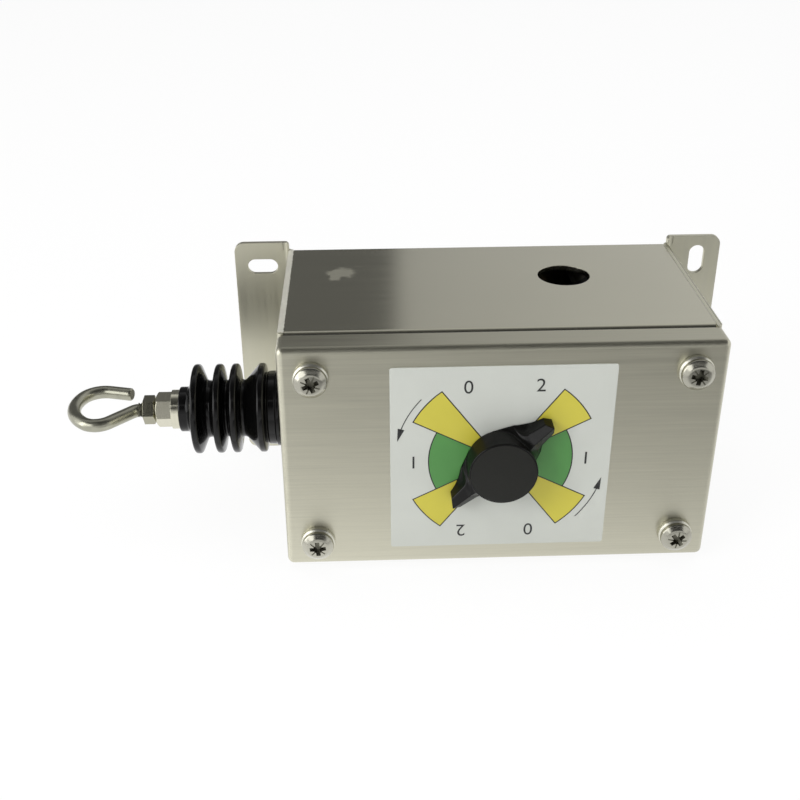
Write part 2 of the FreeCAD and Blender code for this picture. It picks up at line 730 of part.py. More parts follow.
def make_cover_gasket():
    body = new_body("cover_gasket")
    inX = rimHalfWidth - D.rimSheet
    inZ = rimHalfHeight - D.rimSheet
    outX = inX + D.gasketWidth
    outZ = inZ + D.gasketWidth
    add_front(body, rectangle(-outX, -outZ, outX, outZ), rimFront, coverInside)
    outer = [{"x": x, "z": z} for x, z in four(outX, outZ)]
    round_edges(body, straight_edges(body.Shape, ALONG_Y, outer), D.gasketWidth / 2)
    cut_front(body, rectangle(-inX, -inZ, inX, inZ), rimFront, coverInside)


def make_cover_screws():
    x = coverScrewPlace
    z = coverScrewHeight
    seat = D.boxDepth + D.washerThickness
    washer = new_body("sealing_washers")
    add_front(washer, circle(x, z, D.washerRadius), D.boxDepth, seat)
    cut_front(washer, circle(x, z, D.screwRadius + D.screwPlay), D.boxDepth, seat)
    copies("sealing_washers", washer, FOUR_CORNERS)
    screw = new_body("cover_screws")
    add_front(screw, circle(x, z, D.screwHeadRadius), seat, seat + D.screwHeadHeight)
    rim = ring_edges(screw, D.screwHeadRadius, "y", -(seat + D.screwHeadHeight))
    round_edges(screw, rim, D.screwHeadRound)
    add_front(screw, circle(x, z, D.screwRadius), seat - D.screwLength, seat)
    copies("cover_screws", screw, FOUR_CORNERS)


def make_dial_label():
    body = new_body("dial_label")
    x = D.labelWidth / 2
    z = D.labelHeight / 2
    add_front(body, rectangle(-x, -z, x, z), D.boxDepth, labelFront)
    corners = [{"x": across, "z": up} for across, up in four(x, z)]
    round_edges(body, straight_edges(body.Shape, ALONG_Y, corners), D.labelCorner)
    cut_front(body, circle(0, 0, D.bushRadius), D.boxDepth, labelFront)


# Knob and shaft, which turn together

def turned_with_knob(body):
    # The wings are drawn upright, and the whole knob leans to its pointer angle.
    lean = D.knobAngle - 90
    body.Placement = Placement(Vector(0, 0, 0), Rotation(Vector(0, -1, 0), lean.value))
    body.setExpression("Placement.Rotation.Angle", f"{lean.text} * 1 deg")


def make_knob():
    # The foot of the wings runs in straight lines that touch the round boss. Above it each wing is
    # a bar with a low roof.
    body = new_body("knob")
    turned_with_knob(body)
    add_front(body, circle(0, 0, D.bossRadius), knobBack, knobFront)
    tip = math.hypot(D.wingReach.value, D.wingTip.value)
    touch = math.acos(D.bossRadius.value / tip) + math.atan2(D.wingTip.value, D.wingReach.value)
    footX = D.bossRadius * math.sin(touch)
    footZ = D.bossRadius * math.cos(touch)

    def ring(half, shoulder):
        reach = D.wingReach
        return [(half, reach), (shoulder, footZ), (shoulder, -footZ), (half, -reach),
                (-half, -reach), (-shoulder, -footZ), (-shoulder, footZ), (-half, reach)]

    foot = new_sketch(body, "XZ_Plane", knobBack)
    draw_outline(foot, ring(D.wingTip, footX))
    eaves = new_sketch(body, "XZ_Plane", D.boxDepth + D.wingHeight)
    draw_outline(eaves, ring(D.wingHalf, D.wingHalf))
    loft = body.newObject("PartDesign::AdditiveLoft", "Wings")
    loft.Profile = foot
    loft.Sections = [eaves]
    loft.Ruled = True
    doc.recompute()
    eaves_y = -(D.boxDepth + D.wingHeight)
    crest_y = -(D.boxDepth + D.wingCrest)
    roof = outline([(-D.wingHalf, eaves_y), (D.wingHalf, eaves_y), (0, crest_y)])
    add_prism(body, "XY_Plane", roof, -D.wingReach, D.wingReach)
    round_edges(body, boss_seams(body), D.wingBlend)
    bevel_edges(body, ring_edges(body, D.bossRadius, "y", -knobFront), D.bossEase)
    cut_front(body, circle(0, 0, D.bushFlangeRadius + D.knobRecessPlay), knobBack, knobBack + D.knobRecess)
    cut_front(body, circle(0, 0, D.shaftRadius), knobBack, shaftFront)
    cut_side(body, circle(-grubDepth, 0, D.grubRadius), 0, D.bossRadius + overcut)


def boss_seams(body):
    # Names of the edges where the roofs of the wings meet the round boss.
    names = []
    for index, edge in enumerate(body.Shape.Edges, start=1):
        if edge.Curve.TypeId == "Part::GeomLine":
            continue
        middle = edge.valueAt((edge.FirstParameter + edge.LastParameter) / 2)
        local = body.Placement.inverse().multVec(middle)
        above = -local.y - D.boxDepth.value
        if near(math.hypot(local.x, local.z), D.bossRadius) and D.wingHeight.value < above < D.wingCrest.value:
            names.append(f"Edge{index}")
    return names


def make_knob_grub_screw():
    body = new_body("knob_grub_screw")
    turned_with_knob(body)
    add_side(body, circle(-grubDepth, 0, D.grubRadius), D.shaftRadius, D.bossRadius - D.grubInset)


def make_knob_shaft():
    body = new_body("knob_shaft")
    shoulder = bracketDepth + D.bearingFlange + D.switchGap
    add_front(body, circle(0, 0, D.shaftRadius), shoulder, shaftFront)
    add_front(body, circle(0, 0, D.journalRadius), shaftRear, shoulder)


def make_shaft_bush():
    body = new_body("shaft_bush")
    add_front(body, circle(0, 0, D.bushRadius), bushRear, labelFront)
    add_front(body, circle(0, 0, D.bushFlangeRadius), labelFront, labelFront + D.bushFlange)
    cut_front(body, circle(0, 0, D.shaftRadius + D.shaftFit), bushRear, labelFront + D.bushFlange)
    nut = new_body("bush_nut")
    add_front(nut, hexagon(0, 0, D.bushNutFlats), coverInside - D.bushNutThickness, coverInside)
    cut_front(nut, circle(0, 0, D.bushRadius), coverInside - D.bushNutThickness, coverInside)
    clip = new_body("shaft_circlip")
    add_front(clip, circle(0, 0, D.clipRadius), clipRear, clipRear + D.clipThickness)
    cut_front(clip, circle(0, 0, D.shaftRadius), clipRear, clipRear + D.clipThickness)


def involute(base_radius, radius):
    pressure = math.acos(min(1.0, base_radius / radius))
    return math.tan(pressure) - pressure


def front_solid(wire, back, front):
    # A wire drawn in X and Z, raised from one depth to another.
    face = Part.Face(wire)
    face.translate(Vector(0, -number(back), 0))
    return face.extrude(Vector(0, number(back) - number(front), 0))


def make_pinion():
    module = D.toothModule.value
    count = int(D.toothCount.value)
    pitch = module * count / 2
    base = pitch * math.cos(math.radians(D.pressureAngle.value))
    tip = pitch + module
    root = pitch - 1.25 * module
    half_tooth = math.pi / (2 * count) - D.toothPlay.value / pitch + involute(base, pitch)

    def at(radius, angle):
        return Vector(radius * math.cos(angle), 0, radius * math.sin(angle))

    flank_radii = [base + (tip - base) * step / 4 for step in range(5)]
    edges = []
    for tooth in range(count):
        middle = 2 * math.pi * tooth / count - math.pi / 2
        rising = [at(radius, middle - half_tooth + involute(base, radius)) for radius in flank_radii]
        falling = [at(radius, middle + half_tooth - involute(base, radius))
                   for radius in reversed(flank_radii)]
        foot = at(root, middle - half_tooth)
        other_foot = at(root, middle + half_tooth)
        following = middle + 2 * math.pi / count
        next_foot = at(root, following - half_tooth)
        rise = Part.BSplineCurve()
        rise.interpolate(rising)
        fall = Part.BSplineCurve()
        fall.interpolate(falling)
        edges.append(Part.LineSegment(foot, rising[0]).toShape())
        edges.append(rise.toShape())
        edges.append(Part.Arc(rising[-1], at(tip, middle), falling[0]).toShape())
        edges.append(fall.toShape())
        edges.append(Part.LineSegment(falling[-1], other_foot).toShape())
        edges.append(Part.Arc(other_foot, at(root, middle + math.pi / count), next_foot).toShape())
    gear = front_solid(Part.Wire(edges), gearRear, gearFront)
    bore = Part.makeCylinder(D.shaftRadius.value, D.gearWidth.value * 2,
                             Vector(0, -gearFront.value - overcut, 0), ALONG_Y)
    make_feature("pinion", gear.cut(bore))


def make_cam(label, front):
    # A snail cam: a spiral over the whole turn of the knob, and a round back.
    slope = D.camLift.value / D.knobTurn.value
    first = 90 - D.camLead.value
    last = 90 + D.knobTurn.value + D.camLead.value

    def at(degrees, radius):
        angle = math.radians(degrees)
        return Vector(radius * math.cos(angle), 0, radius * math.sin(angle))

    steps = 9
    angles = [first + (last - first) * step / (steps - 1) for step in range(steps)]
    points = [at(angle, D.camBase.value + slope * (angle - 90)) for angle in angles]
    spiral = Part.BSplineCurve()
    spiral.interpolate(points)
    hub = D.camHub.value
    fall = Part.LineSegment(points[-1], at(last, hub)).toShape()
    back = Part.Arc(at(last, hub), at((last + first + 360) / 2, hub), at(first + 360, hub)).toShape()
    rise = Part.LineSegment(at(first, hub), points[0]).toShape()
    cam = front_solid(Part.Wire([spiral.toShape(), fall, back, rise]), front - D.camWidth, front)
    bore = Part.makeCylinder(D.shaftRadius.value, D.camWidth.value * 2,
                             Vector(0, -front.value - overcut, 0), ALONG_Y)
    make_feature(label, cam.cut(bore))


# Bearing bracket and what it carries

def make_bearing_bracket():
    # A hat section that stands on the back wall over the pull rod.
    body = new_body("bearing_bracket")
    sheet_metal = D.bracketSheet
    floor = -D.wallSheet
    front = -bracketDepth
    top = bracketHalfHeight
    foot = top + D.bracketFoot
    section = [
        (floor, foot), (floor - sheet_metal, foot), (floor - sheet_metal, top), (front, top),
        (front, -top), (floor - sheet_metal, -top), (floor - sheet_metal, -foot), (floor, -foot),
        (floor, sheet_metal - top), (front + sheet_metal, sheet_metal - top),
        (front + sheet_metal, top - sheet_metal), (floor, top - sheet_metal),
    ]
    add_side(body, outline(section), -D.bracketHalfWidth, D.bracketHalfWidth)
    outer = [{"y": front, "z": z} for z in both(top)]
    inner = [{"y": front + sheet_metal, "z": z} for z in both(top - sheet_metal)]
    round_edges(body, straight_edges(body.Shape, ALONG_X, outer), D.bracketBend)
    round_edges(body, straight_edges(body.Shape, ALONG_X, inner), D.bracketBend - sheet_metal)
    cut_front(body, circle(0, 0, D.bearingRadius), bracketDepth - sheet_metal, bracketDepth)
    screws = [(x, D.switchFoot + D.switchHeight / 2) for x in both(D.switchScrewSide)]
    cut_front(body, circles(screws, D.switchScrewRadius), bracketDepth - sheet_metal, bracketDepth)
    for z in both(top + D.bracketFoot / 2):
        places = [(x, z) for x in both(D.footScrewSide)]
        holes = circles(places, D.footScrewRadius + D.screwPlay)
        cut_front(body, holes, D.wallSheet, D.wallSheet + sheet_metal)


def make_bracket_screws():
    seat = D.wallSheet + D.bracketSheet
    screw = new_body("bracket_screws")
    x = D.footScrewSide
    z = bracketHalfHeight + D.bracketFoot / 2
    add_front(screw, circle(x, z, D.footScrewRadius), D.footScrewShort, seat)
    add_front(screw, circle(x, z, D.footScrewHead), seat, seat + D.footScrewHeadHeight)
    copies("bracket_screws", screw, FOUR_CORNERS)


def make_shaft_bearing():
    body = new_body("shaft_bearing")
    rear = bracketDepth - D.bracketSheet
    add_front(body, circle(0, 0, D.bearingRadius), rear, bracketDepth)
    flange = bracketDepth + D.bearingFlange
    add_front(body, circle(0, 0, D.bearingFlangeRadius), bracketDepth, flange)
    cut_front(body, circle(0, 0, D.journalRadius + D.shaftFit), rear, flange)


def make_rack_guide():
    # A nylon channel that keeps the rack in mesh and the pull rod from turning.
    body = new_body("rack_guide")
    front = gearFront + D.guideFit + D.guideWall
    low = -(D.rackFoot + D.guideFit + D.guideFloor)
    floor = -(D.rackFoot + D.guideFit)
    back_top = -(rackRoot - D.guideBackRise)
    lip_top = -(rackRoot + D.guideLipDrop)
    section = [
        (-bracketDepth, low), (-front, low), (-front, lip_top), (D.guideWall - front, lip_top),
        (D.guideWall - front, floor), (D.guideFit - gearRear, floor),
        (D.guideFit - gearRear, back_top), (-bracketDepth, back_top),
    ]
    add_side(body, outline(section), -D.guideHalfWidth, D.guideHalfWidth)


def make_switches():
    x = D.switchHalfWidth
    low = D.switchFoot
    screws = [(side, low + D.switchHeight / 2) for side in both(D.switchScrewSide)]
    blocks = (("switch_rear", switchRearBack, camRearFace),
              ("switch_front", switchFrontBack, camFrontFace))
    for label, back, cam_face in blocks:
        block = new_body(label)
        front = back + D.switchThickness
        add_front(block, rectangle(-x, low, x, switchTop), back, front)
        corners = [{"x": across, "z": up} for across in both(x) for up in (low, switchTop)]
        round_edges(block, straight_edges(block.Shape, ALONG_Y, corners), D.switchScrewRadius)
        cut_front(block, circles(screws, D.switchScrewRadius + D.screwPlay), back, front)
        middle = cam_face - D.camWidth / 2
        bore = circle(0, -middle, D.plungerRadius + D.plungerPlay)
        cut_prism(block, "XY_Plane", bore, low, low + D.plungerInside + D.camLift + D.plungerSpare)
    screw = new_body("switch_screws")
    seat = switchFrontBack + D.switchThickness
    height = low + D.switchHeight / 2
    rear = bracketDepth - D.bracketSheet
    add_front(screw, circle(D.switchScrewSide, height, D.switchScrewRadius), rear, seat)
    add_front(screw, circle(D.switchScrewSide, height, D.switchScrewHead), seat, seat + D.switchScrewRadius)
    copies("switch_screws", screw, [[ALONG_X]])


def make_plungers():
    # Each plunger ends in a blunt nose that rides on its cam.
    low = D.camBase + D.plungerGap
    high = D.switchFoot + D.plungerInside
    for label, cam_face in (("plunger_rear", camRearFace), ("plunger_front", camFrontFace)):
        body = new_body(label)
        middle = cam_face - D.camWidth / 2
        add_prism(body, "XY_Plane", circle(0, -middle, D.plungerRadius), low, high)
        bevel_edges(body, ring_edges(body, D.plungerRadius, "z", low), D.plungerNose)


def make_switch_terminals():
    tabs = []
    for back in (switchRearBack, switchFrontBack):
        middle = back + D.switchThickness / 2
        for step in (-1, 0, 1):
            tab = doc.addObject("Part::Box", "Tab")
            tab.setExpression("Length", formula(D.tabWidth))
            tab.setExpression("Width", formula(D.tabThickness))
            tab.setExpression("Height", formula(D.tabHeight))
            tab.setExpression("Placement.Base.x", formula(D.tabSpacing * step - D.tabWidth / 2))
            tab.setExpression("Placement.Base.y", formula(-middle - D.tabThickness / 2))
            tab.setExpression("Placement.Base.z", formula(switchTop))
            tabs.append(tab)
    group = doc.addObject("Part::Compound", "switch_terminals")
    group.Label = "switch_terminals"
    group.Links = tabs
    subparts["switch_terminals"] = group


# Pull rod and everything that slides with it

def make_pull_rod():
    body = new_body("pull_rod")
    add_side(body, circle(axisY, 0, D.rodRadius), -noseEnd, rodEnd)
    stub_end = -(noseEnd + D.rodStubLength)
    add_side(body, circle(axisY, 0, D.rodStubRadius), stub_end, -noseEnd)
    bevel_edges(body, ring_edges(body, D.rodRadius, "x", rodEnd), D.rodEase)
    pin_middle = armRight - D.armThickness / 2
    cut_prism(body, "XY_Plane", circle(pin_middle, axisY, D.armPinRadius), -D.armHub, D.armHub)


def make_rod_arm():
    # A clamped hub on the pull rod, with a plate that reaches the end of the rack.
    body = new_body("rod_arm")
    hub = D.armHub
    add_side(body, circle(axisY, 0, hub), armLeft, armRight)
    screw_y, screw_z = rack_screw_axis()
    lean = math.atan2(screw_z.value, screw_y.value - axisY.value)
    side_y = hub * math.sin(lean)
    side_z = hub * math.cos(lean)
    plate = [
        (axisY + side_y, -side_z), (-gearFront, -rackRoot), (-gearFront, -D.rackFoot),
        (-gearRear, -D.rackFoot), (axisY - side_y, side_z),
    ]
    add_side(body, outline(plate), armLeft, armRight)
    cut_side(body, circle(axisY, 0, D.rodRadius), armLeft, armRight)
    cut_side(body, circle(screw_y, screw_z, D.rackScrewRadius), armLeft, armRight)
    pin_middle = armRight - D.armThickness / 2
    cut_prism(body, "XY_Plane", circle(pin_middle, axisY, D.armPinRadius), -hub, hub)
    pin = new_body("arm_pin")
    reach = hub - D.armPinShort
    add_prism(pin, "XY_Plane", circle(pin_middle, axisY, D.armPinRadius), -reach, reach)


def rack_screw_axis():
    return (-(gearRear + D.gearWidth / 2), -(rackRoot + D.rackFoot) / 2)


def make_rack():
    body = new_body("rack")
    bar = rectangle(armRight, -D.rackFoot, D.rackRight, -rackRoot)
    add_front(body, bar, gearRear, gearFront)
    pitch = D.toothModule * math.pi
    lean = math.tan(math.radians(D.pressureAngle.value))
    half = pitch / 4 - D.toothPlay
    root_half = half + D.toothModule * 1.25 * lean
    tip_half = half - D.toothModule * lean
    count = int((D.rackRight.value - armRight.value) / pitch.value)
    first = pitch * (0.5 - int(-armRight.value / pitch.value))
    tooth = [(first - root_half, -rackRoot), (first - tip_half, -rackTop),
             (first + tip_half, -rackTop), (first + root_half, -rackRoot)]
    pad = add_front(body, outline(tooth), gearRear, gearFront)
    pattern = body.newObject("PartDesign::LinearPattern", "Teeth")
    pattern.Originals = [pad]
    pattern.Direction = (pad.Profile[0], ["H_Axis"])
    pattern.Occurrences = count - 1
    pattern.Length = number(pitch) * (count - 2)
    pattern.setExpression("Length", formula(pitch * (count - 2)))
    body.Tip = pattern
    doc.recompute()
    screw_end = armRight + D.rackScrewLength
    cut_side(body, circle(*rack_screw_axis(), D.rackScrewRadius), armRight, screw_end)
    screw = new_body("rack_screw")
    add_side(screw, circle(*rack_screw_axis(), D.rackScrewRadius), armLeft, screw_end - D.rackScrewShort)
    add_side(screw, circle(*rack_screw_axis(), D.rackScrewHead), armLeft - D.rackScrewRadius, armLeft)


def make_spring():
    seat = new_body("spring_seat")
    add_side(seat, circle(axisY, 0, D.seatRadius), seatLeft, armLeft)
    cut_side(seat, circle(axisY, 0, D.rodRadius), seatLeft, armLeft)
    body = new_body("return_spring")
    start = D.springWire / 2 + D.springGap - glandInner
    height = seatLeft - D.springWire / 2 - D.springGap - start
    sketch = new_sketch(body, "XY_Plane", 0)
    middle = axisY + D.springRadius
    wire = D.springWire / 2
    rectangle(start - wire, middle - wire, start + wire, middle + wire)(sketch)
    draw_axis(sketch, start)
    helix = body.newObject("PartDesign::AdditiveHelix", "Coils")
    helix.Profile = sketch
    helix.ReferenceAxis = (sketch, ["Axis0"])
    helix.Mode = "height-turns-angle"
    helix.Height = number(height)
    helix.setExpression("Height", formula(height))
    helix.Turns = number(D.springTurns)
    helix.setExpression("Turns", formula(D.springTurns))
    doc.recompute()


def make_gland():
    bush = new_body("gland_bush")
    left = -(halfWidth + D.glandSpigotLength)
    add_side(bush, circle(axisY, 0, D.glandSpigot), left, -halfWidth)
    add_side(bush, circle(axisY, 0, D.glandRadius), -halfWidth, -glandInner)
    cut_side(bush, circle(axisY, 0, D.rodRadius + D.shaftFit), left, -glandInner)
    nut = new_body("gland_nut")
    wall = D.wallSheet - halfWidth
    add_side(nut, hexagon(axisY, 0, D.glandNutFlats), wall, wall + D.glandNutThickness)
    cut_side(nut, circle(axisY, 0, D.glandRadius), wall, wall + D.glandNutThickness)


def make_rod_guide():
    bracket = new_body("rod_guide_bracket")
    left = rearPlatePlace
    right = left + D.bracketSheet
    foot = right + D.rearPlateFoot
    floor = -D.wallSheet
    seat = floor - D.bracketSheet
    front = axisY - D.rearPlateAhead
    section = [(left, front), (right, front), (right, seat), (foot, seat),
               (foot, floor), (left, floor)]
    half = rearPlateHalf
    add_prism(bracket, "XY_Plane", outline(section), -half, half)
    bends = [{"x": left, "y": floor}]
    inside = [{"x": right, "y": seat}]
    round_edges(bracket, straight_edges(bracket.Shape, ALONG_Z, bends), D.bracketBend)
    round_edges(bracket, straight_edges(bracket.Shape, ALONG_Z, inside), D.bracketBend - D.bracketSheet)
    cut_side(bracket, circle(axisY, 0, D.rodBushRadius), left, right)
    places = [(guideScrewPlace, z) for z in both(guideScrewHeight)]
    holes = circles(places, D.footScrewRadius + D.screwPlay)
    cut_front(bracket, holes, D.wallSheet, D.wallSheet + D.bracketSheet)
    bush = new_body("rod_guide_bush")
    end = right + D.rodBushReach
    add_side(bush, circle(axisY, 0, D.rodBushRadius), left, end)
    add_side(bush, circle(axisY, 0, D.rodBushFlange), left - D.rodBushFlangeThickness, left)
    cut_side(bush, circle(axisY, 0, D.rodRadius + D.shaftFit), left - D.rodBushFlangeThickness, end)
    screw = new_body("rod_guide_screws")
    seat = D.wallSheet + D.bracketSheet
    at = (guideScrewPlace, guideScrewHeight)
    add_front(screw, circle(*at, D.footScrewRadius), D.footScrewShort, seat)
    add_front(screw, circle(*at, D.footScrewHead), seat, seat + D.footScrewHeadHeight)
    copies("rod_guide_screws", screw, [[ALONG_Z]])


def chamfered_hex(body, flats, left, right, ends):
    # The corners of a hexagon are turned off by a cone at the ends named.
    corner = flats / math.sqrt(3)
    add_side(body, hexagon(axisY, 0, flats), left, right)
    for end in ends:
        ring = new_sketch(body, "XY_Plane", 0)
        inward = D.hexChamfer if end is left else -D.hexChamfer
        rise = corner + axisY
        draw_outline(ring, [(end, rise - D.hexTurned), (end, rise + overcut),
                            (end + inward, rise + overcut), (end + inward, rise)])
        draw_axis(ring, end)
        groove = body.newObject("PartDesign::Groove", "CornerCone")
        groove.Profile = ring
        groove.ReferenceAxis = (ring, ["Axis0"])
        groove.Angle = 360
        doc.recompute()


def make_rod_coupling():
    body = new_body("rod_coupling")
    right = -noseEnd
    hex_right = right - D.flangeLength
    left = -couplingLeft
    chamfered_hex(body, D.couplingFlats, left, hex_right, [left])
    add_side(body, circle(axisY, 0, D.flangeRadius), hex_right, right)
    cut_side(body, circle(axisY, 0, D.rodStubRadius), right - D.rodStubLength, right)
    cut_side(body, circle(axisY, 0, D.threadRadius), left, left + D.threadInside)
    nut = new_body("lock_nut")
    chamfered_hex(nut, D.nutFlats, -nutLeft, -nutRight, [-nutLeft, -nutRight])
    cut_side(nut, circle(axisY, 0, D.threadRadius), -nutLeft, -nutRight)


def make_eye_hook():
    # The wire leaves the lock nut, bends towards the front and goes round into an open eye.
    body = new_body("eye_hook")
    thread_left = -(nutLeft + D.hookNeck)
    add_side(body, circle(axisY, 0, D.threadRadius), thread_left, D.threadInside - couplingLeft)
    spine = new_sketch(body, "XY_Plane", 0)
    steps = [
        ("bend", D.hookNeckBend, D.hookNeckAngle, 1), ("run", D.hookRun),
        ("bend", D.hookFrontBend, D.hookFrontAngle, -1), ("bend", D.hookEndBend, D.hookEndAngle, -1),
        ("bend", D.hookBackBend, D.hookBackAngle, -1), ("run", D.hookTip),
    ]
    draw_path(spine, thread_left, axisY, math.pi, steps)
    section = new_sketch(body, "YZ_Plane", thread_left)
    draw_circle(section, axisY, 0, D.hookWire)
    pipe = body.newObject("PartDesign::AdditivePipe", "Wire")
    pipe.Profile = section
    pipe.Spine = (spine, [f"Edge{index + 1}" for index in range(len(steps))])
    doc.recompute()


def draw_path(sketch, x, y, heading, steps):
    # Straight runs and tangent bends, one after the other.
    point = Vector(number(x), number(y), 0)
    previous = None
    for index, step in enumerate(steps):
        ahead = Vector(math.cos(heading), math.sin(heading), 0)
        if step[0] == "run":
            finish = point + ahead * number(step[1])
            item = sketch.addGeometry(Part.LineSegment(point, finish), False)
            start_end, finish_end = 1, 2
            length = sketch.addConstraint(Sketcher.Constraint("Distance", item, number(step[1])))
            bind(sketch, length, f"run{index}", step[1])
        else:
            radius, angle, side = number(step[1]), math.radians(number(step[2])), step[3]
            left = Vector(-ahead.y, ahead.x, 0) * side
            centre = point + left * radius
            turned = Rotation(ALONG_Z, math.degrees(angle) * side).multVec(point - centre)
            finish = centre + turned
            begin = math.atan2(point.y - centre.y, point.x - centre.x)
            span = (begin, begin + angle) if side > 0 else (begin - angle, begin)
            arc = Part.ArcOfCircle(Part.Circle(centre, ALONG_Z, radius), *span)
            item = sketch.addGeometry(arc, False)
            start_end, finish_end = (1, 2) if side > 0 else (2, 1)
            bow = sketch.addConstraint(Sketcher.Constraint("Radius", item, radius))
            bind(sketch, bow, f"bow{index}", step[1])
            sweep = sketch.addConstraint(Sketcher.Constraint("Angle", item, angle))
            sketch.renameConstraint(sweep, f"sweep{index}")
            sketch.setExpression(f"Constraints.sweep{index}", f"{formula(step[2])} * 1 deg")
            heading += angle * side
        if previous is None:
            fix_point(sketch, item, start_end, x, y, "start")
        else:
            joint = Sketcher.Constraint("Tangent", previous[0], previous[1], item, start_end)
            sketch.addConstraint(joint)
        previous = (item, finish_end)
        point = finish


def make_bellows():
    # Rubber folds between the collar on the rod and the cuff on the gland bush.
    body = new_body("bellows")
    wall = D.bellowsWall
    flat = D.crestFlat / 2
    collar = noseEnd - D.noseLength
    cuff_left = halfWidth + D.cuffLength
    wall_end = halfWidth + D.cuffGap
    outer = [(noseEnd, D.noseRadius), (collar, D.noseRadius)]
    folds = [halfWidth + fold for fold in (D.foldOne, D.foldTwo, D.foldThree, D.foldFour)]
    valleys = [halfWidth + valley for valley in (D.valleyOne, D.valleyTwo, D.valleyThree)]
    for fold, crest in enumerate(folds):
        outer.append((crest + flat, D.crestRadius))
        outer.append((crest - flat, D.crestRadius))
        if fold < len(valleys):
            outer.append((valleys[fold], D.valleyRadius))
    outer.append((cuff_left, D.cuffRadius))
    outer.append((wall_end, D.cuffRadius))
    inside = D.valleyRadius - wall
    inner = [(wall_end, D.glandSpigot + D.softGap), (cuff_left, D.glandSpigot + D.softGap),
             (folds[-1], inside), (folds[0], inside),
             (collar, D.rodRadius + D.softGap), (noseEnd, D.rodRadius + D.softGap)]
    sketch = new_sketch(body, "XY_Plane", 0)
    draw_outline(sketch, [(-place, axisY + radius) for place, radius in outer + inner])
    draw_axis(sketch, -noseEnd)
    turned = body.newObject("PartDesign::Revolution", "Folds")
    turned.Profile = sketch
    turned.ReferenceAxis = (sketch, ["Axis0"])
    turned.Angle = 360
    doc.recompute()


def make_earth_terminal():
    x = D.earthSide - halfWidth
    z = D.earthEdge - halfHeight
    stud = new_body("earth_stud")
    end = D.wallSheet + D.earthLength
    add_front(stud, circle(x, z, D.earthRadius), D.wallSheet, end)
    nuts = new_body("earth_nuts")
    back = D.wallSheet + D.earthLug
    for place in (back, back + D.earthNutThickness + D.earthLug):
        add_front(nuts, hexagon(x, z, D.earthFlats), place, place + D.earthNutThickness)
    cut_front(nuts, circle(x, z, D.earthRadius), D.wallSheet, end)


def check_and_write():
    doc.recompute()
    for item in doc.Objects:
        if any(flag in ("Invalid", "Error") for flag in item.State):
            raise SystemExit(f"{item.Name} ({item.Label}) is in state {item.State}")
    os.makedirs("parts", exist_ok=True)
    for label in sorted(subparts):
        shape = subparts[label].Shape
        if shape.isNull() or not shape.isValid() or shape.Volume <= 0:
            raise SystemExit(f"the shape of {label} is not a valid solid")
        shape.exportStep(f"parts/{label}.step")
        print(f"{label}: {len(shape.Solids)} solid(s), {shape.Volume / 1000:.2f} cm3")


make_housing_wrap()
make_end_plates()
make_sealing_rim()
make_corner_nut_plates()
make_cover()
make_cover_gasket()
make_cover_screws()
make_dial_label()
make_knob()
make_knob_grub_screw()
make_knob_shaft()
make_shaft_bush()
make_pinion()
make_cam("cam_front", camFrontFace)
make_cam("cam_rear", camRearFace)
make_bearing_bracket()
make_bracket_screws()
make_shaft_bearing()
make_rack_guide()
make_switches()
make_plungers()
make_switch_terminals()
make_pull_rod()
make_rod_arm()
make_rack()
make_spring()
make_gland()
make_rod_guide()
make_rod_coupling()
make_eye_hook()
make_bellows()
make_earth_terminal()
check_and_write()
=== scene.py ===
import bmesh
import bpy
import json
import math
from mathutils import Matrix, Vector, noise


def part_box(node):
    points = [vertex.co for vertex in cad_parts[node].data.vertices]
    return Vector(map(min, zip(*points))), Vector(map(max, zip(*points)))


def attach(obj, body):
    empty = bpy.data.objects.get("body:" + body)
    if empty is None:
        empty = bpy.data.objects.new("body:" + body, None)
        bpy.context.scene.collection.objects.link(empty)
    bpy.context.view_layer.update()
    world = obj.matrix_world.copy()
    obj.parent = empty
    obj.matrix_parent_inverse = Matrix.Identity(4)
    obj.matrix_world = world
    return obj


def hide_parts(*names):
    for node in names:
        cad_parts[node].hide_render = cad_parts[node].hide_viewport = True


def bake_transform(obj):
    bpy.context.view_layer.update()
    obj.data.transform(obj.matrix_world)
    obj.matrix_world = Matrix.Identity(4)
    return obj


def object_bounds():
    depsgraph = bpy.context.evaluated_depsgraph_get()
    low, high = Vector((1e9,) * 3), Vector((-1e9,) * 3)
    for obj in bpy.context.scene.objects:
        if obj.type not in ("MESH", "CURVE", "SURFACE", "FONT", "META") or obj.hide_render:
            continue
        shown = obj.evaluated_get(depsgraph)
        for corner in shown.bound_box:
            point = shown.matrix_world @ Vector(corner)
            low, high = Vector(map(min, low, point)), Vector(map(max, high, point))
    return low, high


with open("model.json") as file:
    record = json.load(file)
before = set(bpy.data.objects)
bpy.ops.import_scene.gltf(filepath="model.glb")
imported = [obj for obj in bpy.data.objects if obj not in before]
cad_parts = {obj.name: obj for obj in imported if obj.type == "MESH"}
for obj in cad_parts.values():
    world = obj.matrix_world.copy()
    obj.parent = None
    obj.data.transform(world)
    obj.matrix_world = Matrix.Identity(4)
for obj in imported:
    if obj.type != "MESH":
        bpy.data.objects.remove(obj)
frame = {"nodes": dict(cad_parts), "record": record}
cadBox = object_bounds()
print("frame loaded:", len(frame["nodes"]), "nodes")

mm = 0.001
nodes = frame["nodes"]
slotOf = {row["node"]: row["material_slot"] for row in frame["record"]["subparts"]}
scene = bpy.context.scene


def middleOf(node):
    low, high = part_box(node)
    return (low + high) / 2


rodY = middleOf("lock_nut").y
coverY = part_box("cover")[0].y  # front of the cover
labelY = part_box("dial_label")[0].y

# Camera, solved from the straight edges of the box

camera = {
    "place": (-0.0486, -0.448, 0.21755),
    "yaw": 1.94,
    "down": 28.7,
    "roll": -0.27,
    "lens": 50.78,
    "sensor": 36,
}


